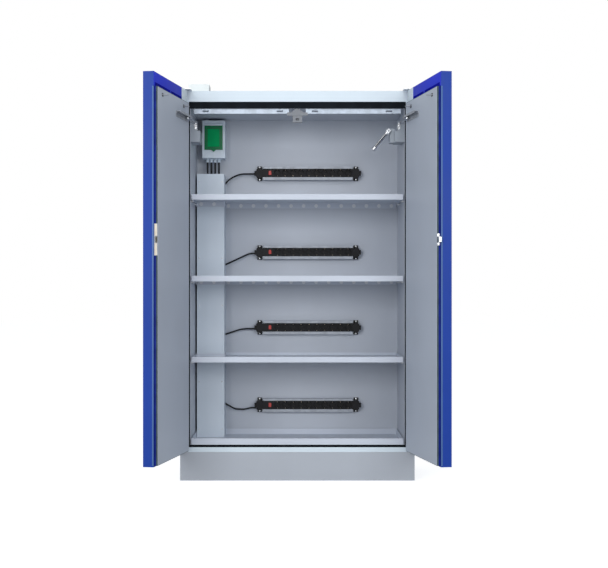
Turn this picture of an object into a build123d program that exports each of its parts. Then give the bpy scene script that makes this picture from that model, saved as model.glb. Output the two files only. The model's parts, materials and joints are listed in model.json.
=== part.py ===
from build123d import *
import os

# Fire-rated battery charging cabinet with two swing doors, doors stored open.
# Millimetres. Floor at Z = 0, the front faces -Y, the origin is under the middle.

# Driving sizes
WIDTH = 1197.0
HEIGHT = 1988.0
DEPTH = 598.0
DOOR_ZONE = 73.0
OPEN_ANGLE = 100.0
PLINTH_H = 146.0
SHEET = 1.5
LINER = 1.0
SIDE_WALL = 51.8
BACK_WALL = 45.0
FLOOR_Z = 182.6
CEILING_Z = HEIGHT - 89.5
HEADER_Z = HEIGHT - 55.0
TRAY_TOP = 214.5
SEAL_W = 7.0
SHELF_TOPS = [
    FLOOR_Z + share * (CEILING_Z - FLOOR_Z) for share in (0.26132, 0.50259, 0.74562)]
LEVELS = [TRAY_TOP, *SHELF_TOPS, CEILING_Z]
STRIP_ZS = [
    low + share * (high - low)
    for low, high, share in zip(LEVELS, LEVELS[1:], (0.3131, 0.3295, 0.3167, 0.3331))]

HALF = WIDTH / 2
FRONT = -DEPTH / 2 + DOOR_ZONE
BACK = DEPTH / 2
IN_X = HALF - SIDE_WALL
IN_BACK = BACK - BACK_WALL

# Clearances
PIN_FIT = 0.05
PLAY = 0.5
DOOR_GAP = 4.0

os.makedirs("parts", exist_ok=True)


def box(x0, x1, y0, y1, z0, z1):
    """Return a box between two corners."""
    return Pos((x0 + x1) / 2, (y0 + y1) / 2, (z0 + z1) / 2) * Box(x1 - x0, y1 - y0, z1 - z0)


def rod(radius, start, axis, length):
    """Return a cylinder that starts at a point and runs along an axis."""
    plane = Plane(origin=start, z_dir=axis)
    return plane * Cylinder(radius, length, align=(Align.CENTER, Align.CENTER, Align.MIN))


def fuse(*shapes):
    """Return one solid made of shapes that touch."""
    whole = shapes[0]
    for shape in shapes[1:]:
        whole = whole + shape
    return whole


def write(name, *shapes):
    """Write one node from solids that stay separate."""
    solids = [solid for shape in shapes for solid in shape.solids()]
    export_step(Compound(children=solids), f"parts/{name}.step")


def flip(shape):
    """Return the mirror image across the cabinet's middle plane."""
    return mirror(shape, about=Plane.YZ)


# Cable duct in the rear left corner
DUCT_X0 = -IN_X + 9.0
DUCT_X1 = DUCT_X0 + 146.0
DUCT_Y = IN_BACK - 151.0
DUCT_TOP = STRIP_ZS[-1] - 13.4
DUCT_SHEET = 1.5

# Conduit that brings the mains from the roof down to the breaker box
BOX_X0 = DUCT_X0 + 25.7
INLET = (BOX_X0 + 22.0, 200.0)
CONDUIT_R = 9.0
inlet_way = rod(CONDUIT_R + 0.3, (*INLET, CEILING_Z - 1), (0, 0, 1), HEIGHT - CEILING_Z + 2)

# Plinth and outer sheets
PLINTH_SHEET = 3.0
plinth = box(-HALF, HALF, FRONT, BACK, 0, PLINTH_H)
plinth -= box(
    -HALF + PLINTH_SHEET, HALF - PLINTH_SHEET, FRONT + PLINTH_SHEET, BACK - PLINTH_SHEET,
    PLINTH_SHEET, PLINTH_H,
)
write("plinth", plinth)

RIM_TOP = 170.0
SEAL_DEPTH = 14.0
STILE_X = IN_X + SEAL_W
side_skin = fuse(
    box(-HALF, -HALF + SHEET, FRONT, BACK, PLINTH_H, HEIGHT - SHEET),
    box(-HALF + SHEET, -STILE_X, FRONT, FRONT + SHEET, RIM_TOP, HEADER_Z),
)
write("skin_left", side_skin)
write("skin_right", flip(side_skin))
write("skin_back", box(
    -HALF + SHEET, HALF - SHEET, BACK - SHEET, BACK, PLINTH_H, HEIGHT - SHEET))
write("roof", fuse(
    box(-HALF, HALF, FRONT, BACK, HEIGHT - SHEET, HEIGHT) - inlet_way,
    box(-HALF + SHEET, HALF - SHEET, FRONT, FRONT + SHEET, HEADER_Z, HEIGHT - SHEET),
    box(-HALF + SHEET, HALF - SHEET, FRONT + SHEET, FRONT + SEAL_DEPTH,
        HEADER_Z, HEADER_Z + SHEET),
))
write("base_pan", fuse(
    box(-HALF + SHEET, HALF - SHEET, FRONT, BACK - SHEET, PLINTH_H, PLINTH_H + SHEET),
    box(-HALF + SHEET, HALF - SHEET, FRONT, FRONT + SHEET, PLINTH_H + SHEET, RIM_TOP),
    box(-HALF + SHEET, HALF - SHEET, FRONT + SHEET, FRONT + SEAL_DEPTH,
        RIM_TOP - SHEET, RIM_TOP),
))

# Insulation, inner liner and the seal round the opening
LINE_X = IN_X + LINER
LINE_BACK = IN_BACK + LINER
LINE_TOP = CEILING_Z + LINER
LINE_FLOOR = FLOOR_Z - LINER
insulation = box(
    -HALF + SHEET, HALF - SHEET, FRONT + SEAL_DEPTH, BACK - SHEET,
    PLINTH_H + SHEET, HEIGHT - SHEET,
)
insulation -= box(
    -LINE_X, LINE_X, FRONT + SEAL_DEPTH, LINE_BACK, LINE_FLOOR, LINE_TOP)
write("insulation", insulation - inlet_way)

liner_side = box(-LINE_X, -IN_X, FRONT + 1, LINE_BACK, FLOOR_Z, CEILING_Z)
write("liner_left", liner_side)
write("liner_right", flip(liner_side))
write("liner_back", box(-IN_X, IN_X, IN_BACK, LINE_BACK, FLOOR_Z, CEILING_Z))
write("liner_top", box(
    -LINE_X, LINE_X, FRONT + SEAL_DEPTH, LINE_BACK, CEILING_Z, LINE_TOP) - inlet_way)
write("liner_floor", box(
    -LINE_X, LINE_X, FRONT + SEAL_DEPTH, LINE_BACK, LINE_FLOOR, FLOOR_Z))

SEAL_SET = 1.0
side_seal = box(
    -STILE_X, -LINE_X, FRONT + SEAL_SET, FRONT + SEAL_DEPTH, FLOOR_Z, CEILING_Z)
write(
    "opening_seal", side_seal, flip(side_seal),
    box(-STILE_X, STILE_X, FRONT + SEAL_SET, FRONT + SEAL_DEPTH, RIM_TOP, LINE_FLOOR),
    box(-STILE_X, STILE_X, FRONT + 6, FRONT + SEAL_DEPTH, LINE_TOP, HEADER_Z),
)

# Sump tray
TRAY_SHEET = 2.0
TRAY_X = IN_X - 4.7
TRAY_Y0 = FRONT + 4
TRAY_Y1 = IN_BACK - 4
tray = box(-TRAY_X, TRAY_X, TRAY_Y0, TRAY_Y1, FLOOR_Z, TRAY_TOP)
tray -= box(
    -TRAY_X + TRAY_SHEET, TRAY_X - TRAY_SHEET, TRAY_Y0 + TRAY_SHEET, TRAY_Y1 - TRAY_SHEET,
    FLOOR_Z + TRAY_SHEET, TRAY_TOP,
)
write("sump_tray", tray)

# Shelves: a pan with a folded front lip, side and rear flanges and a corner notch
LIP_H = 28.5
LIP_D = 12.0
PAN_DROP = 14.5
SHELF_X = IN_X - 5.7
SHELF_Y0 = FRONT + 3
SHELF_Y1 = IN_BACK - 4
REAR_DROP = 44.0
NOTCH_X = DUCT_X1 + 2
NOTCH_Y = DUCT_Y - 6
STUD_R = 5.0
STUD_YS = (FRONT + 60, IN_BACK - 170)


def shelf(top):
    """Return one shelf whose lip ends at a height."""
    low, pan, rear = top - LIP_H, top - PAN_DROP, top - REAR_DROP
    return fuse(
        box(-SHELF_X, SHELF_X, SHELF_Y0, NOTCH_Y, pan - SHEET, pan),
        box(NOTCH_X, SHELF_X, NOTCH_Y, SHELF_Y1, pan - SHEET, pan),
        box(-SHELF_X, SHELF_X, SHELF_Y0, SHELF_Y0 + SHEET, low, top),
        box(-SHELF_X, SHELF_X, SHELF_Y0 + SHEET, SHELF_Y0 + LIP_D, top - SHEET, top),
        box(-SHELF_X, SHELF_X, SHELF_Y0 + LIP_D - SHEET, SHELF_Y0 + LIP_D, pan, top - SHEET),
        box(-SHELF_X, SHELF_X, SHELF_Y0 + SHEET, SHELF_Y0 + LIP_D, low, low + SHEET),
        box(-SHELF_X, -SHELF_X + SHEET, SHELF_Y0 + LIP_D, NOTCH_Y, low, top),
        box(SHELF_X - SHEET, SHELF_X, SHELF_Y0 + LIP_D, SHELF_Y1, low, top),
        box(NOTCH_X, SHELF_X, SHELF_Y1 - SHEET, SHELF_Y1, rear, top),
        box(NOTCH_X, NOTCH_X + SHEET, NOTCH_Y, SHELF_Y1, rear, top),
        box(-SHELF_X, NOTCH_X + SHEET, NOTCH_Y - SHEET, NOTCH_Y, rear, top),
    )


BUFFER_PITCH = (2 * SHELF_X - 53.0) / 15
BUFFER_R = 10.0
BUFFER_T = 2.0
BUFFER_DROP = 30.0
buffers, studs = [], []
for name, top in zip(("bottom", "middle", "top"), SHELF_TOPS):
    write(f"shelf_{name}", shelf(top))
    for index in range(16):
        at_notch = index < 2
        x = -SHELF_X + 26.5 + BUFFER_PITCH * index
        y = (NOTCH_Y if at_notch else SHELF_Y1) - SHEET
        buffers.append(rod(BUFFER_R, (x, y, top - BUFFER_DROP), (0, -1, 0), BUFFER_T))
    for y in STUD_YS:
        stud = rod(STUD_R, (-IN_X, y, top - LIP_H - STUD_R - 0.1), (1, 0, 0), 14)
        studs += [stud, flip(stud)]
write("shelf_buffers", *buffers)
write("shelf_studs", *studs)

# Strip leads: routes in X and Z, held in the strip's end cap and in the duct
LEAD_R = 4.5
LEAD_HELD = 8.0
LEAD_Y = IN_BACK - 30
CAP_X0 = -223.5
NUB_X0 = CAP_X0 - 10.2
LEAD_X0, LEAD_X1 = NUB_X0 + LEAD_HELD, DUCT_X1 - 9.3
LEAD_BENDS = (62.0, 180.0, 60.0, 110.0)
LEAD_DROPS = (
    ((LEAD_X0, -14.0), (-252.0, -14.0), (-292.0, -23.0), (-340.0, -21.0), (LEAD_X1, 14.0)),
    ((LEAD_X0, -6.0), (-300.0, -6.0), (LEAD_X1, -39.5)),
    ((LEAD_X0, -5.0), (-258.0, -5.0), (LEAD_X1, -71.0)),
    ((LEAD_X0, -3.0), (-310.0, -3.0), (-362.0, -26.0), (LEAD_X1, -64.0)),
)
LEAD_ROUTES = [
    [(x, z + drop) for x, drop in drops] for z, drops in zip(STRIP_ZS, LEAD_DROPS)]


def lead(route, bend):
    """Return one round cable along straight runs joined by arcs."""
    path = FilletPolyline(*[(x, LEAD_Y, z) for x, z in route], radius=bend)
    start = Plane(origin=path @ 0, z_dir=path % 0)
    return sweep(start * Circle(LEAD_R), path=path)


write("strip_leads", *[lead(*pair) for pair in zip(LEAD_ROUTES, LEAD_BENDS)])

duct = box(DUCT_X0, DUCT_X1, DUCT_Y, IN_BACK, FLOOR_Z + TRAY_SHEET, DUCT_TOP)
duct -= box(
    DUCT_X0 + DUCT_SHEET, DUCT_X1 - DUCT_SHEET, DUCT_Y + DUCT_SHEET, IN_BACK,
    FLOOR_Z + TRAY_SHEET + DUCT_SHEET, DUCT_TOP - DUCT_SHEET,
)
duct -= box(DUCT_X0, DUCT_X1, TRAY_Y1 - TRAY_SHEET - 1, IN_BACK, FLOOR_Z, TRAY_TOP + 1)
for route in LEAD_ROUTES:
    (x1, z1), (x2, z2) = route[-2:]
    z = z2 + (z1 - z2) * (DUCT_X1 - x2) / (x1 - x2)
    duct -= box(DUCT_X1 - 4, DUCT_X1 + 1, LEAD_Y - 6, LEAD_Y + 6, z - 11, z + 11)

# Breaker box with its lid, breakers, glands and feeder cables
BOX_X1 = BOX_X0 + 122.0
BOX_Z1 = CEILING_Z - 13.5
BOX_Z0 = BOX_Z1 - 202.0
BOX_Y = IN_BACK - 110
BOX_WALL = 3.0
BOX_MID = (BOX_X0 + BOX_X1) / 2
LID_X0, LID_X1 = BOX_MID - 48.5, BOX_MID + 48.5
LID_Z0, LID_Z1 = BOX_Z0 + 44.0, BOX_Z1 - 27.0
LID_T = 8.0
FEED_XS = [BOX_MID - 5.5 + 20.5 * step for step in (-1.5, -0.5, 0.5, 1.5)]
FEED_Y = IN_BACK - 55
FEED_R = 5.0
GLAND_R = 8.5
GLAND_H = 19.0
breaker_box = box(BOX_X0, BOX_X1, BOX_Y, IN_BACK, BOX_Z0, BOX_Z1)
breaker_box -= box(
    BOX_X0 + BOX_WALL, BOX_X1 - BOX_WALL, BOX_Y + BOX_WALL, IN_BACK - BOX_WALL,
    BOX_Z0 + BOX_WALL, BOX_Z1 - BOX_WALL,
)
WINDOW_X, WINDOW_Z0, WINDOW_Z1 = 37.0, BOX_Z0 + 86.0, BOX_Z0 + 132.0
breaker_box -= box(
    BOX_MID - WINDOW_X, BOX_MID + WINDOW_X, BOX_Y - 1, BOX_Y + BOX_WALL + 1,
    WINDOW_Z0, WINDOW_Z1,
)
LUG_R = 5.0
PIVOT_R = 2.0
LID_AXIS = (BOX_MID, BOX_Y - LUG_R, LID_Z1 + LUG_R)
for side in (-1, 1):
    x = BOX_MID + side * 46
    breaker_box += rod(LUG_R, (x - 2, *LID_AXIS[1:]), (1, 0, 0), 4)
    breaker_box += box(x - 2, x + 2, LID_AXIS[1], BOX_Y, LID_Z1, LID_Z1 + 2 * LUG_R)
breaker_box -= rod(PIVOT_R + PIN_FIT, (BOX_MID - 60, *LID_AXIS[1:]), (1, 0, 0), 120)
glands = []
for x in FEED_XS:
    breaker_box -= rod(FEED_R + 0.5, (x, FEED_Y, BOX_Z0 - 1), (0, 0, 1), BOX_WALL + 2)
    gland = fuse(
        rod(GLAND_R, (x, FEED_Y, BOX_Z0 - GLAND_H), (0, 0, 1), GLAND_H - 6),
        rod(GLAND_R + 1, (x, FEED_Y, BOX_Z0 - 6), (0, 0, 1), 6),
    )
    glands.append(gland - rod(FEED_R + 0.3, (x, FEED_Y, BOX_Z0 - 30), (0, 0, 1), 40))
    duct -= rod(FEED_R + 1, (x, FEED_Y, DUCT_TOP - 5), (0, 0, 1), 10)
write("cable_duct", duct)
breaker_box -= rod(CONDUIT_R - 2, (*INLET, BOX_Z1 - BOX_WALL - 1), (0, 0, 1), 8)
conduit = rod(CONDUIT_R, (*INLET, BOX_Z1), (0, 0, 1), HEIGHT + 8 - BOX_Z1)
write("conduit", conduit - rod(CONDUIT_R - 2, (*INLET, BOX_Z1 - 1), (0, 0, 1), 200))
write("breaker_box", breaker_box, *glands)
write("feeder_cables", *[
    rod(FEED_R, (x, FEED_Y, DUCT_TOP - 30), (0, 0, 1), BOX_Z0 + 20 - DUCT_TOP + 30)
    for x in FEED_XS
])

lid = box(LID_X0, LID_X1, BOX_Y - LID_T, BOX_Y - 0.4, LID_Z0, LID_Z1 - 0.4)
lid += box(
    BOX_MID - 34, BOX_MID + 34, BOX_Y - LID_T - 3, BOX_Y - LID_T, LID_Z0 + 16, LID_Z1 - 18)
lid += rod(LUG_R, (BOX_MID - 43.5, *LID_AXIS[1:]), (1, 0, 0), 87)
lid += box(BOX_MID - 43.5, BOX_MID + 43.5, BOX_Y - LID_T, LID_AXIS[1], LID_Z1 - 1, LID_AXIS[2])
lid += rod(PIVOT_R, (BOX_MID - 48.2, *LID_AXIS[1:]), (1, 0, 0), 96.4)
nub = Polygon((-13, 0), (0, -11), (13, 0), align=None)
nub_plane = Plane(origin=(BOX_MID, BOX_Y - 1, LID_Z0), x_dir=(1, 0, 0), z_dir=(0, -1, 0))
lid += extrude(nub_plane * nub, 7)
write("breaker_lid", lid)

BREAKER_W = 17.5
BREAKER_Z = (WINDOW_Z0 + WINDOW_Z1) / 2
NOSE_Y = BOX_Y + 2.5
TOGGLE_AXIS_Y = NOSE_Y + 6
TRUNNION_R = 1.5
breakers = []
for index, step in enumerate((-1.5, -0.5, 0.5, 1.5), 1):
    x = BOX_MID + step * BREAKER_W
    half = BREAKER_W / 2 - 0.15
    case = box(x - half, x + half, NOSE_Y + 24, IN_BACK - 14, BREAKER_Z - 42, BREAKER_Z + 42)
    case += box(x - half, x + half, NOSE_Y, NOSE_Y + 24, BREAKER_Z - 22, BREAKER_Z + 22)
    case -= box(x - 4.5, x + 4.5, NOSE_Y - 1, NOSE_Y + 13, BREAKER_Z - 12, BREAKER_Z + 12)
    case -= rod(
        TRUNNION_R + PIN_FIT, (x - 6, TOGGLE_AXIS_Y, BREAKER_Z), (1, 0, 0), 12)
    breakers.append(case)
    toggle = rod(5.5, (x - 4, TOGGLE_AXIS_Y, BREAKER_Z), (1, 0, 0), 8)
    toggle += rod(TRUNNION_R, (x - 5.8, TOGGLE_AXIS_Y, BREAKER_Z), (1, 0, 0), 11.6)
    stem = box(x - 4, x + 4, TOGGLE_AXIS_Y - 8, TOGGLE_AXIS_Y, BREAKER_Z - 2, BREAKER_Z + 2)
    axis = Axis((x, TOGGLE_AXIS_Y, BREAKER_Z), (1, 0, 0))
    write(f"breaker_toggle_{index}", toggle + stem.rotate(axis, -35))
write("breakers", *breakers)
write("din_rail", box(
    BOX_X0 + 8, BOX_X1 - 8, IN_BACK - 14, IN_BACK - BOX_WALL, BREAKER_Z - 17.5,
    BREAKER_Z + 17.5,
))

# Socket strips
STRIP_MID = 61.4
STRIP_HALF = 284.9
STRIP_D = 45.0
PROFILE_X0 = CAP_X0 + 35
PROFILE_X1 = STRIP_MID + STRIP_HALF - 44
CAP_X1 = STRIP_MID + STRIP_HALF - 10
CAP_CORNER = 8.0
PROFILE_H = 73.0
PROFILE_Y = IN_BACK - 41
BLOCK_H = 46.0
BLOCK_Y = IN_BACK - 43
BLOCK_BACK = IN_BACK - 3
FLANGE_LOW = 15.0
CAP_H = 78.0
WELL_PITCH = 42.77
WELL_X0 = -108.2
WELL_R = 19.0
WELL_D = 16.0
ROCKER_X = -149.0
ROCKER_W, ROCKER_H, ROCKER_D = 14.0, 22.0, 10.0
ROCKER_TILT = 7.0
profiles, caps, blocks = [], [], []
for index, z in enumerate(STRIP_ZS, 1):
    low, high = z - PROFILE_H / 2, z + PROFILE_H / 2
    slot0, slot1 = low + FLANGE_LOW, low + FLANGE_LOW + BLOCK_H
    mid = (slot0 + slot1) / 2
    profile = box(PROFILE_X0, PROFILE_X1, PROFILE_Y, IN_BACK, low, high)
    profile -= box(PROFILE_X0, PROFILE_X1, PROFILE_Y, BLOCK_BACK, slot0, slot1)
    profiles.append(profile)
    block = box(PROFILE_X0, PROFILE_X1, BLOCK_Y, BLOCK_BACK, slot0, slot1)
    for count in range(10):
        x = WELL_X0 + WELL_PITCH * count
        block -= rod(WELL_R, (x, BLOCK_Y + WELL_D, mid), (0, -1, 0), WELL_D + 1)
        for side in (-1, 1):
            pin = (x + side * 6.7, BLOCK_Y + WELL_D + 18, mid + side * 6.7)
            block -= rod(2.5, pin, (0, -1, 0), 19)
    block -= box(
        ROCKER_X - ROCKER_W / 2 - 0.6, ROCKER_X + ROCKER_W / 2 + 0.6, BLOCK_Y - 1,
        BLOCK_Y + ROCKER_D + 3, mid - ROCKER_H / 2 - 0.8, mid + ROCKER_H / 2 + 0.8,
    )
    pivot = (ROCKER_X - ROCKER_W / 2 - 2, BLOCK_Y + ROCKER_D / 2, mid)
    block -= rod(TRUNNION_R + PIN_FIT, pivot, (1, 0, 0), ROCKER_W + 4)
    blocks.append(block)
    rocker = box(
        ROCKER_X - ROCKER_W / 2, ROCKER_X + ROCKER_W / 2, BLOCK_Y - 1.5,
        BLOCK_Y + ROCKER_D, mid - ROCKER_H / 2, mid + ROCKER_H / 2,
    )
    rocker += rod(TRUNNION_R, (pivot[0] + 0.2, *pivot[1:]), (1, 0, 0), ROCKER_W + 3.6)
    axis = Axis(pivot, (1, 0, 0))
    write(f"rocker_{index}", rocker.rotate(axis, -ROCKER_TILT))
    cap_mid = (low + high) / 2
    for x0, x1, nub_side in ((CAP_X0, PROFILE_X0, -1), (PROFILE_X1, CAP_X1, 1)):
        centre = (x0 + x1) / 2
        cap = box(x0, x1, IN_BACK - STRIP_D, IN_BACK, cap_mid - 27, cap_mid + 27)
        cap = chamfer(cap.edges().filter_by(Axis.Y), CAP_CORNER)
        ear_x0, ear_x1 = centre - 12, centre + 12
        cap += box(ear_x0, ear_x1, IN_BACK - 12, IN_BACK, cap_mid - CAP_H / 2, cap_mid + CAP_H / 2)
        for side in (-1, 1):
            hole = (centre, IN_BACK + 1, cap_mid + side * (CAP_H / 2 - 6))
            cap -= rod(2.6, hole, (0, -1, 0), 14)
        edge = x0 - 10.2 if nub_side < 0 else x1
        cap += box(edge, edge + 10.2, LEAD_Y - 11, LEAD_Y + 11, cap_mid - 12, cap_mid + 12)
        if nub_side < 0:
            entry = (NUB_X0 - 1, LEAD_Y, LEAD_ROUTES[index - 1][0][1])
            cap -= rod(LEAD_R + 0.3, entry, (1, 0, 0), LEAD_HELD + 2)
        caps.append(cap)
write("strip_profiles", *profiles)
write("strip_blocks", *blocks)
write("strip_caps", *caps)

# Closing mechanism under the ceiling
RAIL_X0, RAIL_X1 = 43.4, IN_X - 18.1
RAIL_Y = FRONT + 16
RAIL_H = 24.5
SLOT_XS = (89.5, IN_X - 77.7)
SLOT_Z = CEILING_Z - RAIL_H / 2
KEEPER_SLOT = 8.0
rail = box(RAIL_X0, RAIL_X1, RAIL_Y, RAIL_Y + 2, CEILING_Z - RAIL_H, CEILING_Z)
rail += box(RAIL_X0, RAIL_X1, RAIL_Y + 2, RAIL_Y + 30, CEILING_Z - 2, CEILING_Z)
for x in SLOT_XS:
    rail -= box(x - 16, x + 16, RAIL_Y - 1, RAIL_Y + 3, SLOT_Z - 4.5, SLOT_Z + 4.5)
KEEPER_Z = CEILING_Z - 41.5
keeper = fuse(
    box(-16, 16, RAIL_Y - 2, RAIL_Y + 30, KEEPER_Z, CEILING_Z),
    box(-26, 26, RAIL_Y - 2, RAIL_Y + 1, KEEPER_Z + 1, KEEPER_Z + 31),
    box(-52, 52, RAIL_Y - 4, RAIL_Y - 2, KEEPER_Z + 7, KEEPER_Z + 23),
    box(-24, 24, RAIL_Y - 4, RAIL_Y + 20, KEEPER_Z - 28, KEEPER_Z),
)
keeper -= box(
    -KEEPER_SLOT, KEEPER_SLOT, RAIL_Y - 10, RAIL_Y + 12, KEEPER_Z - 19, KEEPER_Z - 7)
write("closer_rails", rail, flip(rail))
write("closer_keeper", keeper)

# Door hinges: pivot pins on brackets that are fixed to the body
PIVOT_X = HALF - 12.5
PIVOT_Y = FRONT - 46.0
PIVOT_PIN = 6.0
DOOR_Z0, DOOR_Z1 = 153.0, HEIGHT - 3.0
DOOR_OUT, DOOR_IN = FRONT - DOOR_ZONE, FRONT - 22.0
PLATE_T = 3.0
top_bracket = fuse(
    box(-HALF, -HALF + 60, PIVOT_Y - 16, FRONT + 30, HEIGHT, HEIGHT + PLATE_T),
    rod(PIVOT_PIN, (-PIVOT_X, PIVOT_Y, DOOR_Z1 - 18), (0, 0, 1), HEIGHT - DOOR_Z1 + 18),
)
low_bracket = fuse(
    box(-HALF, -HALF + 38, PIVOT_Y - 16, FRONT, PLINTH_H + 1, PLINTH_H + 1 + PLATE_T),
    rod(PIVOT_PIN, (-PIVOT_X, PIVOT_Y, PLINTH_H + 1 + PLATE_T), (0, 0, 1),
        DOOR_Z0 + 18 - PLINTH_H - 1 - PLATE_T),
)
write("hinge_brackets", top_bracket, flip(top_bracket), low_bracket, flip(low_bracket))

# Closer housings, arms and the sequence lever
ARM_PIVOT = (-HALF + 77.5, FRONT + 20.0)
ARM_Z = CEILING_Z - 70.5
ARM_LEN = 173.8
ARM_ANGLE = 261.5
ARM_W = 16.0
ARM_T = 5.0
POST_R = 5.0
CASE_Z0, CASE_Z1 = ARM_Z - 99.0, ARM_Z - 42.0
left_housing = fuse(
    box(-IN_X, -IN_X + 49, FRONT + 12, FRONT + 150, CASE_Z0, CASE_Z1),
    box(-IN_X, ARM_PIVOT[0] + 9, FRONT + 12, FRONT + 44, CASE_Z1, ARM_Z - 6),
    rod(POST_R, (*ARM_PIVOT, ARM_Z - 6), (0, 0, 1), 11.5),
)
LEVER_AT = (IN_X - 78.7, FRONT + 26.0, CASE_Z1 + 2.0)
LEVER_PIN = 4.0
right_housing = fuse(
    flip(left_housing),
    box(IN_X - 72.7, IN_X - 46.7, FRONT + 40, FRONT + 110, CASE_Z0, CASE_Z1),
    box(IN_X - 90.7, IN_X - 46.7, FRONT + 40, FRONT + 70, CASE_Z1 - 10, CASE_Z1 + 14),
    rod(LEVER_PIN, (LEVER_AT[0], FRONT + 41, LEVER_AT[2]), (0, -1, 0), 22),
)
write("closer_housings", left_housing, right_housing)

arm_dir = Vector(1, 0, 0).rotate(Axis.Z, ARM_ANGLE)
arm = box(0, ARM_LEN, -ARM_W / 2, ARM_W / 2, -ARM_T / 2, ARM_T / 2)
arm += Cylinder(ARM_W / 2 + 2, ARM_T + 5)
arm += Pos(ARM_LEN, 0, 0) * Cylinder(ARM_W / 2, ARM_T)
arm += Pos(ARM_LEN, 0, ARM_T / 2 + 1.5) * Cylinder(6, 3)
arm -= Cylinder(POST_R + PIN_FIT, 30)
arm = Pos(*ARM_PIVOT, ARM_Z) * Rot(0, 0, ARM_ANGLE) * arm
write("closer_arm_left", arm)
write("closer_arm_right", flip(arm))

LEVER_LEN = 126.0
LEVER_TILT = -140.3
lever = rod(9, (0, 0, 14), (0, 0, 1), LEVER_LEN - 24)
lever += rod(11, (0, 0, LEVER_LEN - 12), (0, 0, 1), 12)
lever += box(-8, 8, -6, 6, -8, 20)
lever -= rod(LEVER_PIN + PIN_FIT, (0, -10, 0), (0, 1, 0), 20)
lever = Pos(*LEVER_AT) * Rot(0, LEVER_TILT, 0) * lever
write("sequence_lever", lever)

# Roof housing for the mains inlet, above the breaker box
ROOF_X0 = -HALF + 15.5
ROOF_X1 = ROOF_X0 + 109.0
ROOF_Y0, ROOF_Y1 = 114.0, 234.0
ROOF_H = 88.0
roof_box = box(ROOF_X0, ROOF_X1, ROOF_Y0, ROOF_Y1, HEIGHT, HEIGHT + ROOF_H)
roof_box -= box(
    ROOF_X0 + 2, ROOF_X1 - 2, ROOF_Y0 + 2, ROOF_Y1 - 2, HEIGHT, HEIGHT + ROOF_H - 2)
GLAND_AT = (ROOF_X0 + 56.0, ROOF_Y1, HEIGHT + 46.0)
MAINS_R = 7.0
roof_box -= rod(12, (GLAND_AT[0], GLAND_AT[1] - 5, GLAND_AT[2]), (0, 1, 0), 10)
write("roof_housing", roof_box)
mains_gland = fuse(
    rod(12 - 0.05, (GLAND_AT[0], GLAND_AT[1] - 12, GLAND_AT[2]), (0, 1, 0), 12),
    rod(17, GLAND_AT, (0, 1, 0), 8),
    rod(14, (GLAND_AT[0], GLAND_AT[1] + 8, GLAND_AT[2]), (0, 1, 0), 16),
)
mains_gland -= rod(MAINS_R, (GLAND_AT[0], GLAND_AT[1] - 20, GLAND_AT[2]), (0, 1, 0), 60)
write("mains_gland", mains_gland)

# Doors, drawn closed and then swung open
DOOR_X0, DOOR_X1 = -HALF, -1.5
PLUG_X0, PLUG_X1 = DOOR_X0 + 30, DOOR_X1 - 8
PLUG_Z0, PLUG_Z1 = DOOR_Z0 + 6, HEADER_Z - 17.0
PLUG_Y = FRONT - DOOR_GAP
PANEL = 1.2
RING = 2.5
RING_SET = 1.5
STRIKE_Z = 1206.0
BOLT_H, BOLT_T = 24.0, 10.0
BLOCK = 11.0


def opened(shape):
    """Swing a left-door shape from closed to open."""
    return Pos(-PIVOT_X, PIVOT_Y, 0) * Rot(0, 0, -OPEN_ANGLE) * Pos(PIVOT_X, -PIVOT_Y, 0) * shape


def plug(inset, y0, y1):
    """Return the raised inner part of the door, drawn in by an inset."""
    return box(PLUG_X0 + inset, PLUG_X1 - inset, y0, y1, PLUG_Z0 + inset, PLUG_Z1 - inset)


shell = box(DOOR_X0, DOOR_X1, DOOR_OUT, DOOR_IN, DOOR_Z0, DOOR_Z1)
cavity = box(
    DOOR_X0 + SHEET, DOOR_X1 - SHEET, DOOR_OUT + SHEET, DOOR_IN - SHEET,
    DOOR_Z0 + SHEET, DOOR_Z1 - SHEET,
)
shell -= cavity
shell -= plug(RING + PANEL, DOOR_IN - SHEET, DOOR_IN)
core = box(
    DOOR_X0 + SHEET, DOOR_X1 - SHEET, DOOR_OUT + SHEET, DOOR_IN - SHEET,
    DOOR_Z0 + SHEET, DOOR_Z1 - SHEET,
)
core += plug(RING + PANEL, DOOR_IN - SHEET, PLUG_Y - PANEL)
panel = plug(RING, DOOR_IN, PLUG_Y) - plug(RING + PANEL, DOOR_IN, PLUG_Y - PANEL)
ring = plug(0, DOOR_IN, PLUG_Y - RING_SET) - plug(RING, DOOR_IN, PLUG_Y - RING_SET)

hinge_blocks = []
for z0, z1 in ((DOOR_Z0 + SHEET, DOOR_Z0 + 20), (DOOR_Z1 - 20, DOOR_Z1 - SHEET)):
    outline = box(DOOR_X0 + SHEET, -PIVOT_X + BLOCK, PIVOT_Y - 12, PIVOT_Y + 12, z0, z1)
    core -= outline
    hinge_blocks.append(
        outline - rod(PIVOT_PIN + PIN_FIT, (-PIVOT_X, PIVOT_Y, z0 - 5), (0, 0, 1), 40))
shell -= rod(PIVOT_PIN + 1, (-PIVOT_X, PIVOT_Y, DOOR_Z0 - 1), (0, 0, 1), 4)
shell -= rod(PIVOT_PIN + 1, (-PIVOT_X, PIVOT_Y, DOOR_Z1 - 3), (0, 0, 1), 4)

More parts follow.
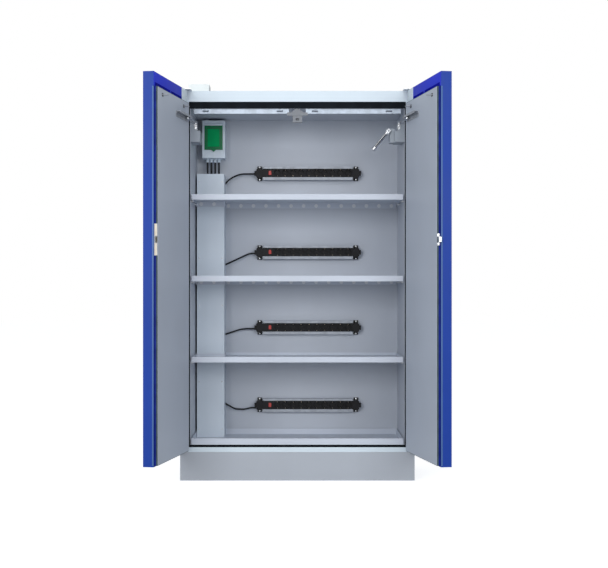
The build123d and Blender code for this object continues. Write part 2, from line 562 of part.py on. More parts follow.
TRACK_X0, TRACK_X1 = PLUG_X0 + 30, PLUG_X0 + 250
track = box(TRACK_X0, TRACK_X1, PLUG_Y, PLUG_Y + 2, ARM_Z - 12, ARM_Z + 16)
track += box(TRACK_X0, TRACK_X1, PLUG_Y + 2, PLUG_Y + 26, ARM_Z + 14, ARM_Z + 16)
track += box(TRACK_X0, TRACK_X1, PLUG_Y + 2, PLUG_Y + 5, ARM_Z + 6, ARM_Z + 14)
track += box(TRACK_X0, TRACK_X1, PLUG_Y + 24, PLUG_Y + 26, ARM_Z + 6, ARM_Z + 14)
tongues = [
    box(-x - 10, -x + 10, PLUG_Y, RAIL_Y + 8, SLOT_Z - 1.5, SLOT_Z + 1.5) for x in SLOT_XS
]
pocket = box(-50, DOOR_X1, PLUG_Y - 14, PLUG_Y - 2.5, STRIKE_Z - 15, STRIKE_Z + 15)
strike = box(PLUG_X1, PLUG_X1 + 1.5, DOOR_IN + 0.5, PLUG_Y - 1.6, STRIKE_Z - 74, STRIKE_Z + 74)
write("door_left_shell", opened(shell))
write("door_left_core", opened(core - pocket))
write("door_left_panel", opened(panel - pocket))
write("door_left_seal", opened(ring - pocket))
write("door_left_fittings", *[
    opened(part) for part in (*hinge_blocks, track, *tongues, strike - pocket)])

# Right door: mirror image, with the lock, handle and latch bolt
BOLT_Y = PLUG_Y - 8.25
bolt_way = box(
    PLUG_X1 - 95, PLUG_X1 + 1, BOLT_Y - BOLT_T / 2 - 0.4, BOLT_Y + BOLT_T / 2 + 0.4,
    STRIKE_Z - BOLT_H / 2 - 0.4, STRIKE_Z + BOLT_H / 2 + 0.4,
)
LOCK_X = PLUG_X1 - 62
LOCK_R = 15.0
LOCK_D = 28.0
lock_way = rod(LOCK_R + 1, (LOCK_X, DOOR_OUT - 1, STRIKE_Z), (0, 1, 0), LOCK_D + 2)
write("door_right_shell", flip(opened(shell - lock_way)))
write("door_right_core", flip(opened(core - bolt_way - lock_way)))
write("door_right_panel", flip(opened(panel - bolt_way)))
write("door_right_seal", flip(opened(ring - bolt_way)))
write("door_right_fittings", *[
    flip(opened(part)) for part in (*hinge_blocks, track, *tongues)])
BOLT_OUT = 30.0
bolt = box(
    PLUG_X1 - 60, PLUG_X1 + BOLT_OUT, BOLT_Y - BOLT_T / 2, BOLT_Y + BOLT_T / 2,
    STRIKE_Z - BOLT_H / 2, STRIKE_Z + BOLT_H / 2,
)
write("latch_bolt", flip(opened(bolt)))
plate = box(LOCK_X - 30, LOCK_X + 30, DOOR_OUT - 2, DOOR_OUT, STRIKE_Z - 80, STRIKE_Z + 80)
plate = fillet(plate.edges().filter_by(Axis.Y), 12)
plate -= rod(LOCK_R + PIN_FIT, (LOCK_X, DOOR_OUT - 20, STRIKE_Z), (0, 1, 0), 40)
write("lock_plate", flip(opened(plate)))
cylinder = rod(LOCK_R, (LOCK_X, DOOR_OUT + LOCK_D, STRIKE_Z), (0, -1, 0), LOCK_D + 4)
cylinder -= box(
    LOCK_X - 1.1, LOCK_X + 1.1, DOOR_OUT - 5, DOOR_OUT + 6, STRIKE_Z - 4.5, STRIKE_Z + 4.5)
write("lock_cylinder", flip(opened(cylinder)))
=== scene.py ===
"""Looks of a fire-rated battery charging cabinet with two swing doors.

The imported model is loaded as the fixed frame. Each of its parts gets the
finish that a maker would give it. The small hardware on the sheet metal is
modelled here: socket collars and contacts, switch frames, screws, bolts,
gland nuts, the lid's pane, the door trim and details of the closing gear.
"""

from __future__ import annotations

import json
import logging
import math
from collections.abc import Callable, Iterable, Sequence
from dataclasses import dataclass, field, replace
from enum import Enum

import bpy
from mathutils import Matrix, Vector

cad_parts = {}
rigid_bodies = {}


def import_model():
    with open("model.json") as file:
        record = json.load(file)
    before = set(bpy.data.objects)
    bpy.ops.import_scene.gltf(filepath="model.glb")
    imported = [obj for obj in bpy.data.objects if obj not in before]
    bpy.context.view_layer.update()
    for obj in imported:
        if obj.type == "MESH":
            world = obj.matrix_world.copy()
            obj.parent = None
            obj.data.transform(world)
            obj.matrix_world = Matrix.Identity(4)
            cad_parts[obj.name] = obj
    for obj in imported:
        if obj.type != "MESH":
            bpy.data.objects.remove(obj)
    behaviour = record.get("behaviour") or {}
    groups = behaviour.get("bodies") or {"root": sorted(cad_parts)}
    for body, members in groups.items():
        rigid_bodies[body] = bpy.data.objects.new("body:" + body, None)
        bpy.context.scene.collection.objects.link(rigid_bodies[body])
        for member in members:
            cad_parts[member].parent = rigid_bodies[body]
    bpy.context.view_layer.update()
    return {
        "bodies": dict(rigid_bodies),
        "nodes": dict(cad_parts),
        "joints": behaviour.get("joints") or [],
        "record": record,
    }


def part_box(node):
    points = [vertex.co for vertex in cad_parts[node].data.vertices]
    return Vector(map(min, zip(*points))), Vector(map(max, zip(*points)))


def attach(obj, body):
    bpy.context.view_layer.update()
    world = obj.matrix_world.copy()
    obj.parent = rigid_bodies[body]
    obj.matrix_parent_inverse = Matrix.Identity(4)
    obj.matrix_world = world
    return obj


log = logging.getLogger("charging_cabinet")

Colour = tuple[float, float, float]
Point = tuple[float, float, float]
Span = tuple[float, float]
Tree = bpy.types.NodeTree
Node = bpy.types.Node
Socket = bpy.types.NodeSocket
Sockets = bpy.types.bpy_prop_collection
Piece = bpy.types.Object
Rule = Callable[[Vector, Vector], bool]
Fill = Callable[["Graph", Sockets, Sockets], None]

MM = 0.001
FULL: Span = (0.0, 1.0)
MIDDLE: Span = (0.3, 0.7)
SQUARE = 0.9
TOUCH = 1e-6
STILL: Point = (0.0, 0.0, 0.0)


class Side(Enum):
    """Which half of the cabinet a door or closer belongs to."""

    LEFT = -1
    RIGHT = 1

    @property
    def word(self) -> str:
        """Return the side's name as the parts use it."""
        return self.name.lower()


class Facing(Enum):
    """The direction that a small part looks in."""

    FRONT = (0.0, -1.0, 0.0)
    UP = (0.0, 0.0, 1.0)
    DOWN = (0.0, 0.0, -1.0)
    BACK = (0.0, 1.0, 0.0)
    RIGHT = (1.0, 0.0, 0.0)
    LEFT = (-1.0, 0.0, 0.0)


# ---------------------------------------------------------------- shader work


class Graph:
    """A short way to add and join shader nodes in one tree."""

    def __init__(self, tree: Tree) -> None:
        """Keep the tree that the nodes go into."""
        self.tree = tree

    def add(self, kind: str, **values: object) -> Node:
        """Add one node.

        Args:
            kind: The node's type name.
            **values: Attributes of the node.

        Returns:
            The new node.
        """
        node = self.tree.nodes.new(kind)
        for name, value in values.items():
            setattr(node, name, value)
        return node

    def wire(self, start: Socket, end: Socket) -> None:
        """Join an output to an input."""
        self.tree.links.new(start, end)

    def feed(self, end: Socket, value: Socket | float | Sequence[float]) -> None:
        """Join an output to an input, or set the input's own value.

        Args:
            end: The input.
            value: An output, or a constant.
        """
        if isinstance(value, Socket):
            self.wire(value, end)
        else:
            end.default_value = value

    def noise(
        self, vector: Socket, scale: float | Socket, detail: float = 2.0, rough: float = 0.5,
    ) -> Socket:
        """Add a noise texture.

        Args:
            vector: Where the texture is read.
            scale: Bumps per metre.
            detail: Octaves of finer noise.
            rough: How strong the finer octaves are.

        Returns:
            The noise value's output.
        """
        node = self.add("ShaderNodeTexNoise")
        for key, value in zip(
            ("Vector", "Scale", "Detail", "Roughness"), (vector, scale, detail, rough)
        ):
            self.feed(node.inputs[key], value)
        return node.outputs["Fac"]

    def math(
        self, action: str, first: Socket, second: float | Socket = 0.0, clamp: bool = False,
    ) -> Socket:
        """Add a math node.

        Args:
            action: The operation, such as MULTIPLY.
            first: The first input.
            second: The second input.
            clamp: Keep the answer between 0 and 1.

        Returns:
            The answer's output.
        """
        node = self.add("ShaderNodeMath", operation=action, use_clamp=clamp)
        self.feed(node.inputs[0], first)
        self.feed(node.inputs[1], second)
        return node.outputs[0]

    def spread(self, value: Socket, source: Span, target: Span) -> Socket:
        """Map one range of values to another, smoothly.

        Args:
            value: The value to map.
            source: The range that it has.
            target: The range that it gets.

        Returns:
            The mapped value's output.
        """
        node = self.add("ShaderNodeMapRange", interpolation_type="SMOOTHSTEP")
        for key, number in zip(
            ("Value", "From Min", "From Max", "To Min", "To Max"), (value, *source, *target)
        ):
            self.feed(node.inputs[key], number)
        return node.outputs["Result"]

    def blend(self, share: Socket, first: Colour | Socket, second: Colour | Socket) -> Socket:
        """Mix two colours.

        Args:
            share: How much of the second colour shows.
            first: The colour at 0.
            second: The colour at 1.

        Returns:
            The mixed colour's output.
        """
        node = self.add("ShaderNodeMix", data_type="RGBA")
        self.feed(node.inputs[0], share)
        for place, colour in ((6, first), (7, second)):
            self.feed(
                node.inputs[place], colour if isinstance(colour, Socket) else (*colour, 1.0))
        return node.outputs[2]

    def stretch(self, vector: Socket, scale: Point, turn: Point = STILL) -> Socket:
        """Stretch the coordinates that a texture reads.

        Args:
            vector: The coordinates.
            scale: The factor along each axis.
            turn: Their turn about each axis in radians.

        Returns:
            The stretched coordinates' output.
        """
        node = self.add("ShaderNodeMapping")
        for key, value in (("Vector", vector), ("Scale", scale), ("Rotation", turn)):
            self.feed(node.inputs[key], value)
        return node.outputs[0]

    def height_of(self, vector: Socket) -> Socket:
        """Return the Z part of a vector."""
        node = self.add("ShaderNodeSeparateXYZ")
        self.wire(vector, node.inputs[0])
        return node.outputs["Z"]


def shared(inputs: dict[str, float], *outputs: str) -> Callable[[Fill], Callable[[], Tree]]:
    """Turn a function that fills a node group into one that returns it.

    Args:
        inputs: Names and usual values of the group's numbers.
        *outputs: Names of its values.

    Returns:
        A decorator. The group has the function's name and is built once.
    """
    def wrap(fill: Fill) -> Callable[[], Tree]:
        """Wrap one filling function."""
        def get() -> Tree:
            """Return the group, filled on first use."""
            found = bpy.data.node_groups.get(fill.__name__)
            if found:
                return found
            tree = bpy.data.node_groups.new(fill.__name__, "ShaderNodeTree")
            face = tree.interface
            face.new_socket("Vector", in_out="INPUT", socket_type="NodeSocketVector")
            for label, usual in inputs.items():
                socket = face.new_socket(label, in_out="INPUT", socket_type="NodeSocketFloat")
                socket.default_value = usual
            for label in outputs:
                face.new_socket(label, in_out="OUTPUT", socket_type="NodeSocketFloat")
            graph = Graph(tree)
            start, end = graph.add("NodeGroupInput"), graph.add("NodeGroupOutput")
            fill(graph, start.outputs, end.inputs)
            return tree
        return get
    return wrap


@shared({"Grain": 420.0, "Patch": 2.6}, "Height", "Tone")
def spray_grain(g: Graph, start: Sockets, end: Sockets) -> None:
    """Fill in the ripple and patchiness of a sprayed, baked coat."""
    place, grain = start["Vector"], start["Grain"]
    fine = g.noise(place, grain, 2.0, 0.45)
    peel = g.noise(place, g.math("MULTIPLY", grain, 0.33), 1.0)
    both = g.math("ADD", g.math("MULTIPLY", fine, 0.4), g.math("MULTIPLY", peel, 0.6))
    g.wire(both, end["Height"])
    g.wire(g.spread(g.noise(place, start["Patch"], 3.0, 0.55), MIDDLE, FULL), end["Tone"])


@shared({"Size": 9.0, "Amount": 0.4}, "Mask")
def handling_marks(g: Graph, start: Sockets, end: Sockets) -> None:
    """Fill in the faint rubs and wipe marks of a part in use."""
    place, size = start["Vector"], start["Size"]
    streak = g.noise(g.stretch(place, (1.0, 1.0, 0.22), (0.0, 0.12, 0.2)), size, 5.0, 0.62)
    spots = g.noise(place, g.math("MULTIPLY", size, 4.5), 3.0)
    raw = g.math("MULTIPLY", g.spread(streak, (0.5, 0.78), FULL),
                 g.spread(spots, (0.35, 0.7), (0.25, 1.0)))
    g.wire(g.math("MULTIPLY", raw, start["Amount"], True), end["Mask"])


@shared({"Size": 26.0, "Amount": 0.3}, "Mask")
def settled_dust(g: Graph, start: Sockets, end: Sockets) -> None:
    """Fill in the dust that lies on faces that look up."""
    normal = g.add("ShaderNodeNewGeometry").outputs["Normal"]
    up = g.spread(g.height_of(normal), (0.55, 0.95), FULL)
    cloud = g.noise(start["Vector"], start["Size"], 4.0, 0.6)
    laid = g.math("MULTIPLY", up, g.spread(cloud, (0.3, 0.75), (0.2, 1.0)))
    g.wire(g.math("MULTIPLY", laid, start["Amount"], True), end["Mask"])


@shared({"Lines": 700.0, "Patch": 30.0}, "Height", "Tone")
def drawn_lines(g: Graph, start: Sockets, end: Sockets) -> None:
    """Fill in the fine lines that rolling or drawing leaves in metal."""
    place = start["Vector"]
    g.wire(g.noise(g.stretch(place, (0.03, 1.0, 1.0)), start["Lines"], 3.0, 0.6), end["Height"])
    g.wire(g.spread(g.noise(place, start["Patch"], 2.0), (0.35, 0.65), FULL), end["Tone"])


class Brush(Graph):
    """A material's graph, its shader and the coordinates that it reads."""

    def __init__(self, tree: Tree) -> None:
        """Start a material with a shader on its surface."""
        super().__init__(tree)
        self.shader = self.add("ShaderNodeBsdfPrincipled")
        out = self.add("ShaderNodeOutputMaterial")
        self.wire(self.shader.outputs[0], out.inputs["Surface"])
        self.place = self.add("ShaderNodeTexCoord").outputs["Object"]

    def effect(self, tree: Tree, *values: float) -> Sockets:
        """Place a shared group in the material.

        Args:
            tree: The group.
            *values: Its numbers, in their order.

        Returns:
            The group's outputs.
        """
        node = self.add("ShaderNodeGroup", node_tree=tree)
        for socket, value in zip(node.inputs, (self.place, *values)):
            self.feed(socket, value)
        return node.outputs

    def lay(self, name: str, value: Socket | float) -> None:
        """Feed one of the shader's inputs."""
        self.feed(self.shader.inputs[name], value)

    def rough(
        self, value: Socket, source: Span, target: Span, *dulling: tuple[Socket, float],
    ) -> None:
        """Set the roughness.

        Args:
            value: What it follows.
            source: The range that the value has.
            target: The roughness over that range.
            *dulling: Masks, each with the roughness that it adds.
        """
        total = self.spread(value, source, target)
        for mask, amount in dulling:
            total = self.math("ADD", total, self.math("MULTIPLY", mask, amount), True)
        self.lay("Roughness", total)

    def bump(self, height: Socket, strength: float, distance: float) -> None:
        """Turn a height into the shader's normal.

        Args:
            height: The height's output.
            strength: How much of the bump shows.
            distance: The height of a full bump in metres.
        """
        node = self.add("ShaderNodeBump")
        for key, value in (("Strength", strength), ("Distance", distance), ("Height", height)):
            self.feed(node.inputs[key], value)
        self.lay("Normal", node.outputs[0])


@dataclass(frozen=True)
class Finish:
    """What every finish shares: a material built from its own nodes."""

    name: str
    colour: Colour

    def material(self) -> bpy.types.Material:
        """Return the finish's material, built on first use."""
        found = bpy.data.materials.get(self.name)
        if found:
            return found
        made = bpy.data.materials.new(self.name)
        made.use_nodes = True
        made.node_tree.nodes.clear()
        self.paint(Brush(made.node_tree))
        return made

    def tint(self, factor: float) -> Colour:
        """Return the colour made brighter or darker."""
        return tuple(min(1.0, part * factor) for part in self.colour)

    def paint(self, brush: Brush) -> None:
        """Feed the shader; each finish has its own way."""
        raise NotImplementedError


@dataclass(frozen=True)
class PowderCoat(Finish):
    """Baked powder coat on sheet steel: ripple, patches, rubs and dust."""

    roughness: float = 0.42
    grain: float = 420.0
    relief: float = 0.22
    patch: float = 0.06
    rubs: float = 0.25
    dust: float = 0.25
    dust_colour: Colour = (0.52, 0.51, 0.49)
    shine: float = 0.5

    def paint(self, brush: Brush) -> None:
        """Build colour, roughness and bump of the coat."""
        spray = brush.effect(spray_grain(), self.grain, 2.6)
        marks = brush.effect(handling_marks(), 9.0, self.rubs)["Mask"]
        dust = brush.effect(settled_dust(), 26.0, self.dust)["Mask"]
        half = self.patch / 2
        coated = brush.blend(spray["Tone"], self.tint(1.0 - half), self.tint(1.0 + half))
        rubbed = brush.blend(marks, coated, self.tint(1.1))
        brush.lay("Base Color", brush.blend(dust, rubbed, self.dust_colour))
        brush.rough(spray["Tone"], FULL, (self.roughness - 0.03, self.roughness + 0.04),
                    (dust, 0.5), (marks, 0.22))
        brush.lay("Specular IOR Level", self.shine)
        brush.bump(spray["Height"], self.relief, 0.0002)


@dataclass(frozen=True)
class PlatedMetal(Finish):
    """Zinc-plated, bright or anodised metal with drawing lines."""

    roughness: float = 0.3
    lines: float = 700.0
    relief: float = 0.15
    tarnish: float = 0.18
    metallic: float = 1.0

    def paint(self, brush: Brush) -> None:
        """Build colour, roughness and bump of the metal."""
        drawn = brush.effect(drawn_lines(), self.lines, 30.0)
        marks = brush.effect(handling_marks(), 40.0, 0.6)["Mask"]
        tone = brush.blend(drawn["Tone"], self.tint(1.0 - self.tarnish), self.colour)
        brush.lay("Base Color", brush.blend(marks, tone, self.tint(0.72)))
        brush.rough(drawn["Height"], MIDDLE, (self.roughness - 0.06, self.roughness + 0.08),
                    (marks, 0.2))
        brush.lay("Metallic", self.metallic)
        brush.bump(drawn["Height"], self.relief, 0.0001)


@dataclass(frozen=True)
class MouldedPlastic(Finish):
    """Moulded plastic with a spark-eroded grain and handling marks."""

    roughness: float = 0.45
    grain: float = 1500.0
    relief: float = 0.3
    patch: float = 0.08
    gloss_coat: float = 0.0
    shine: float = 0.5
    second: Colour | None = None
    above: float = 0.0

    def paint(self, brush: Brush) -> None:
        """Build the plastic, in a second colour above a height if it has one."""
        spray = brush.effect(spray_grain(), self.grain, 14.0)
        marks = brush.effect(handling_marks(), 30.0, 0.5)["Mask"]
        tone = brush.blend(
            spray["Tone"], self.tint(1.0 - self.patch), self.tint(1.0 + self.patch))
        rubbed = brush.blend(marks, tone, self.tint(1.25))
        if self.second is not None:
            upper = brush.math("GREATER_THAN", brush.height_of(brush.place), self.above)
            rubbed = brush.blend(upper, rubbed, self.second)
        brush.lay("Base Color", rubbed)
        brush.rough(spray["Height"], MIDDLE, (self.roughness - 0.04, self.roughness + 0.06),
                    (marks, 0.15))
        brush.lay("Specular IOR Level", self.shine)
        brush.lay("Coat Weight", self.gloss_coat)
        brush.lay("Coat Roughness", 0.12)
        brush.bump(spray["Height"], self.relief, 0.0001)


@dataclass(frozen=True)
class SoftRubber(Finish):
    """Seal and cable rubber: matt, with bloom and dust caught on it."""

    roughness: float = 0.62
    bloom: float = 0.3
    shine: float = 0.22
    bloom_colour: Colour = (0.12, 0.12, 0.12)

    def paint(self, brush: Brush) -> None:
        """Build colour, roughness and bump of the rubber."""
        spray = brush.effect(spray_grain(), 2200.0, 20.0)
        dust = brush.effect(settled_dust(), 60.0, self.bloom)["Mask"]
        tone = brush.blend(spray["Tone"], self.colour, self.tint(1.5))
        brush.lay("Base Color", brush.blend(dust, tone, self.bloom_colour))
        brush.rough(spray["Height"], MIDDLE, (self.roughness - 0.05, self.roughness + 0.1))
        brush.lay("Specular IOR Level", self.shine)
        brush.bump(spray["Height"], 0.35, 0.0001)


@dataclass(frozen=True)
class FireBoard(Finish):
    """Pressed mineral board: fibres, pits and a chalky colour."""

    def paint(self, brush: Brush) -> None:
        """Build colour, roughness and bump of the board."""
        fibre = brush.noise(brush.stretch(brush.place, (1.0, 0.2, 1.0)), 260.0, 5.0, 0.7)
        share = brush.spread(fibre, MIDDLE, FULL)
        brush.lay("Base Color", brush.blend(share, self.tint(0.8), self.colour))
        brush.rough(fibre, MIDDLE, (0.8, 0.95))
        brush.bump(fibre, 0.6, 0.0006)


@dataclass(frozen=True)
class StudioPaper(Finish):
    """The pale paper that the cabinet stands on."""

    name: str = "studio_paper"
    colour: Colour = (0.93, 0.935, 0.94)
    bounce: Colour = (0.62, 0.63, 0.64)
    glow: float = 0.64

    def paint(self, brush: Brush) -> None:
        """Build the paper's faint tooth, paler to the eye than to the light."""
        seen = brush.add("ShaderNodeLightPath").outputs["Is Camera Ray"]
        tooth = brush.noise(brush.place, 300.0, 3.0)
        tone = brush.blend(tooth, self.tint(0.985), self.colour)
        brush.lay("Base Color", brush.blend(seen, self.bounce, tone))
        brush.lay("Emission Color", brush.blend(seen, (0.0, 0.0, 0.0), tone))
        brush.lay("Emission Strength", self.glow)
        brush.lay("Roughness", 0.9)


BODY = PowderCoat("body_coat", (0.66, 0.76, 0.84), roughness=0.4)
PLINTH = PowderCoat("plinth_coat", (0.42, 0.455, 0.51), roughness=0.45, rubs=0.4)
DOOR = PowderCoat("door_coat", (0.010, 0.047, 0.32), 0.38, patch=0.1, shine=0.17, rubs=0.12)
INNER = PowderCoat("inner_door_coat", (0.465, 0.515, 0.60), roughness=0.45)
LINER = PowderCoat("liner_coat", (0.50, 0.54, 0.61), roughness=0.42)
SHELF = PowderCoat("shelf_coat", (0.58, 0.63, 0.72), roughness=0.38)
DUCT = PowderCoat("duct_coat", (0.66, 0.74, 0.83), roughness=0.4)
PALE = PowderCoat("roof_housing_coat", (0.84, 0.90, 0.91), roughness=0.4)
BAND = PowderCoat("band_coat", (0.035, 0.055, 0.66), 0.55, patch=0.1, shine=0.06, rubs=0.1)
# Fold coat: the door blue made lighter, a painted highlight along the free edge's fold.
FOLD_HIGHLIGHT = PowderCoat("fold_coat", (0.075, 0.155, 0.36), 0.4, patch=0.1, shine=0.3, rubs=0.2)
KEEPER = PowderCoat("keeper_coat", (0.19, 0.205, 0.23), roughness=0.45)
HOUSING = PowderCoat("closer_housing_coat", (0.30, 0.34, 0.39), roughness=0.45)
BOARD = FireBoard("fire_board", (0.82, 0.80, 0.74))
# Opening seal: partly the seal's own black, partly painted shade of the gap under the header
# and round the opening.
SEAL_AND_GAP_SHADE = SoftRubber("seal_rubber", (0.006, 0.008, 0.011), shine=0.05)
CABLE = SoftRubber("cable_jacket", (0.012, 0.013, 0.015), roughness=0.5)
# Skirt: the plug side's blue paint darkened to navy as painted shade.
SKIRT_PAINTED_SHADE = SoftRubber("skirt_navy", (0.005, 0.013, 0.15), roughness=0.5, bloom=0.1, shine=0.1)
STRIP_SEAL = SoftRubber("fire_strip", (0.001, 0.004, 0.26), 0.7, bloom=0.1, shine=0.02)
DOOR_SEAL = SoftRubber("door_seal_rubber", (0.040, 0.062, 0.070), shine=0.12)
ZINC = PlatedMetal("bright_zinc", (0.74, 0.76, 0.79))
BRIGHT = PlatedMetal("bright_bolt", (0.86, 0.88, 0.90), roughness=0.22)
RAIL = PlatedMetal("rail_zinc", (0.50, 0.57, 0.66), roughness=0.45, metallic=0.4)
ALU = PlatedMetal("anodised_profile", (0.38, 0.41, 0.46), roughness=0.5, metallic=0.45)
BRASS = PlatedMetal("contact_metal", (0.62, 0.52, 0.42), roughness=0.3)
FITTING = PlatedMetal("painted_fitting", (0.40, 0.425, 0.47), roughness=0.5, metallic=0.15)
BLACK = MouldedPlastic("strip_black", (0.012, 0.012, 0.014), roughness=0.5, shine=0.2)
BUFFER = MouldedPlastic("buffer_plastic", (0.74, 0.78, 0.84), roughness=0.5)
BOX = MouldedPlastic("box_grey", (0.68, 0.77, 0.86), roughness=0.42)
LID = MouldedPlastic("lid_green", (0.001, 0.165, 0.058), 0.3, gloss_coat=0.2, shine=0.3)
PANE = MouldedPlastic("lid_pane_green", (0.0003, 0.36, 0.115), roughness=0.4, shine=0.06)
ROCKER = MouldedPlastic("rocker_red", (0.045, 0.010, 0.009), 0.3, gloss_coat=0.2, shine=0.3)
TOGGLE = MouldedPlastic("toggle_black", (0.03, 0.03, 0.034), roughness=0.35)
CASE = MouldedPlastic("breaker_white", (0.72, 0.73, 0.73), roughness=0.4)
PAD = MouldedPlastic("strike_pad", (0.70, 0.64, 0.54), roughness=0.5)

COATS: tuple[tuple[Finish, str], ...] = (
    (BODY, "skin_left skin_right skin_back roof base_pan"),
    (PALE, "roof_housing"),
    (PLINTH, "plinth"),
    (BOARD, "insulation door_left_core door_right_core"),
    (SEAL_AND_GAP_SHADE, "opening_seal"),
    (ZINC, "hinge_brackets shelf_studs din_rail closer_arm_left closer_arm_right"),
    (ZINC, "sequence_lever latch_bolt lock_plate lock_cylinder"),
    (BOX, "mains_gland conduit breaker_box"),
    (LINER, "liner_left liner_right liner_back liner_top liner_floor"),
    (SHELF, "sump_tray shelf_bottom shelf_middle shelf_top"),
    (BUFFER, "shelf_buffers"),
    (DUCT, "cable_duct"),
    (ALU, "strip_profiles"),
    (BLACK, "strip_blocks strip_caps"),
    (CABLE, "strip_leads feeder_cables"),
    (ROCKER, "rocker_1 rocker_2 rocker_3 rocker_4"),
    (CASE, "breakers"),
    (TOGGLE, "breaker_toggle_1 breaker_toggle_2 breaker_toggle_3 breaker_toggle_4"),
    (RAIL, "closer_rails"),
    (KEEPER, "closer_keeper"),
    (HOUSING, "closer_housings"),
    (DOOR, "door_left_shell door_right_shell"),
    (INNER, "door_left_panel door_right_panel"),
    (DOOR_SEAL, "door_left_seal door_right_seal"),
    (FITTING, "door_left_fittings door_right_fittings"),
)


# ------------------------------------------------------------------ bench work


def looks(axis: str, sign: int = 0) -> Rule:
    """Return the rule for faces that look along an axis.

    Args:
        axis: The axis's letter.
        sign: 1 or -1 for one way, 0 for both.

    Returns:
        A rule that takes a face's centre and normal.
    """
    def rule(_: Vector, normal: Vector) -> bool:
        """Accept a face by its normal."""
        part = getattr(normal, axis)
        return (sign * part if sign else abs(part)) > SQUARE
    return rule


def runs_deep(start: Vector, end: Vector) -> bool:
    """Accept edges that run from front to back."""
    return abs((end - start).normalized().y) > SQUARE


UPPER, ENDS = looks("z", 1), looks("z")
FRONT, REAR, DEEP = looks("y", -1), looks("y", 1), looks("y")
OUTER = looks("x", 1)


class Bench:
    """Hand tools that shape one piece at a time."""

    @staticmethod
    def clear() -> None:
        """Deselect everything."""
        bpy.ops.object.select_all(action="DESELECT")

    @staticmethod
    def hold(piece: Piece) -> None:
        """Select one piece alone and make it active."""
        Bench.clear()
        piece.select_set(True)
        bpy.context.view_layer.objects.active = piece

    @staticmethod
    def settle(name: str) -> Piece:
        """Name the piece just added and put its place into its mesh."""
        piece = bpy.context.object
        piece.name = name
        bpy.ops.object.transform_apply(location=True, rotation=True, scale=True)
        return piece

    @staticmethod
    def block(name: str, x: Span, y: Span, z: Span) -> Piece:
        """Add a box.

        Args:
            name: The piece's name.
            x: Its limits along X.
            y: Its limits along Y.
            z: Its limits along Z.

        Returns:
            The new piece.
        """
        Bench.clear()
        low, high = (Vector(corner) for corner in zip(x, y, z))
        bpy.ops.mesh.primitive_cube_add(size=1.0, location=(low + high) / 2)
        bpy.context.object.scale = high - low
        return Bench.settle(name)

    @staticmethod
    def round_bar(
        name: str, radius: float, length: float, sides: int, base: float = 0.0,
    ) -> Piece:
        """Add an upright cylinder over the origin.

        Args:
            name: The piece's name.
            radius: Its radius.
            length: Its length.
            sides: How many flats it has.
            base: The height that it starts at.

        Returns:
            The new piece.
        """
        Bench.clear()
        bpy.ops.mesh.primitive_cylinder_add(
            vertices=sides, radius=radius, depth=length, location=(0, 0, base + length / 2))
        return Bench.settle(name)

    @staticmethod
    def pick(piece: Piece, rule: Rule, edges: bool = False) -> None:
        """Enter edit mode with the faces or edges that a rule accepts selected.

        Args:
            piece: The piece to edit.
            rule: Takes a face's centre and normal, or an edge's two ends.
            edges: Pick edges and not faces.
        """
        Bench.hold(piece)
        bpy.ops.object.mode_set(mode="EDIT")
        bpy.ops.mesh.select_mode(type="EDGE" if edges else "FACE")
        bpy.ops.mesh.select_all(action="DESELECT")
        Bench.done()
        if edges:
            points = piece.data.vertices
            for edge in piece.data.edges:
                edge.select = bool(rule(*(points[index].co for index in edge.vertices)))
        else:
            for face in piece.data.polygons:
                face.select = bool(rule(face.center, face.normal))
        bpy.ops.object.mode_set(mode="EDIT")

    @staticmethod
    def done() -> None:
        """Leave edit mode."""
        bpy.ops.object.mode_set(mode="OBJECT")

    @staticmethod
    def inset(piece: Piece, rule: Rule, width: float, depth: float = 0.0) -> None:
        """Draw faces in by a width, and sink or raise them.

        Args:
            piece: The piece to shape.
            rule: Which faces.
            width: How far in the new edge lies.
            depth: How far the face is raised, or sunk if negative.
        """
        Bench.pick(piece, rule)
        bpy.ops.mesh.inset(thickness=width, depth=depth)
        Bench.done()

    @staticmethod
    def step(piece: Piece, rule: Rule, width: float, move: Point) -> None:
        """Draw faces in by a width, then extrude them by a move.

        Args:
            piece: The piece to shape.
            rule: Which faces.
            width: How far in the new edge lies.
            move: Where the drawn-in faces go.
        """
        Bench.pick(piece, rule)
        if width > 0:
            bpy.ops.mesh.inset(thickness=width, depth=0.0)
        bpy.ops.mesh.extrude_region_move(TRANSFORM_OT_translate={"value": move})
        Bench.done()

    @staticmethod
    def pierce(piece: Piece, rule: Rule) -> None:
        """Open a hole between two opposite faces.

        Args:
            piece: The piece to shape.
            rule: Which two faces.
        """
        Bench.pick(piece, rule)
        bpy.ops.mesh.bridge_edge_loops()
        Bench.done()

    @staticmethod
    def ease(piece: Piece, width: float, rounds: int = 2, rule: Rule | None = None) -> None:
        """Round a piece's edges.

        Args:
            piece: The piece to shape.
            width: The width of the rounding.
            rounds: How many steps it has.
            rule: Which edges, or every sharp one if there is no rule.
        """
        if rule is None:
            Bench.hold(piece)
            bevel = piece.modifiers.new("eased", "BEVEL")
            bevel.width = width
            bevel.segments = rounds
            bevel.limit_method = "ANGLE"
            bevel.angle_limit = math.radians(40)
            bpy.ops.object.modifier_apply(modifier=bevel.name)
            return
        Bench.pick(piece, rule, edges=True)
        bpy.ops.mesh.bevel(offset=width, segments=rounds, affect="EDGES")
        Bench.done()

    @staticmethod
    def neaten(piece: Piece, angle: float = 35.0) -> Piece:
        """Merge doubles, face everything outwards and shade by angle.

        Args:
            piece: The piece to finish.
            angle: The sharpest edge in degrees that is shaded smooth.

        Returns:
            The same piece.
        """
        Bench.hold(piece)
        bpy.ops.object.mode_set(mode="EDIT")
        bpy.ops.mesh.select_all(action="SELECT")
        bpy.ops.mesh.remove_doubles(threshold=TOUCH)
        bpy.ops.mesh.normals_make_consistent(inside=False)
        Bench.done()
        bpy.ops.object.shade_smooth_by_angle(angle=math.radians(angle))
        Bench.clear()
        return piece

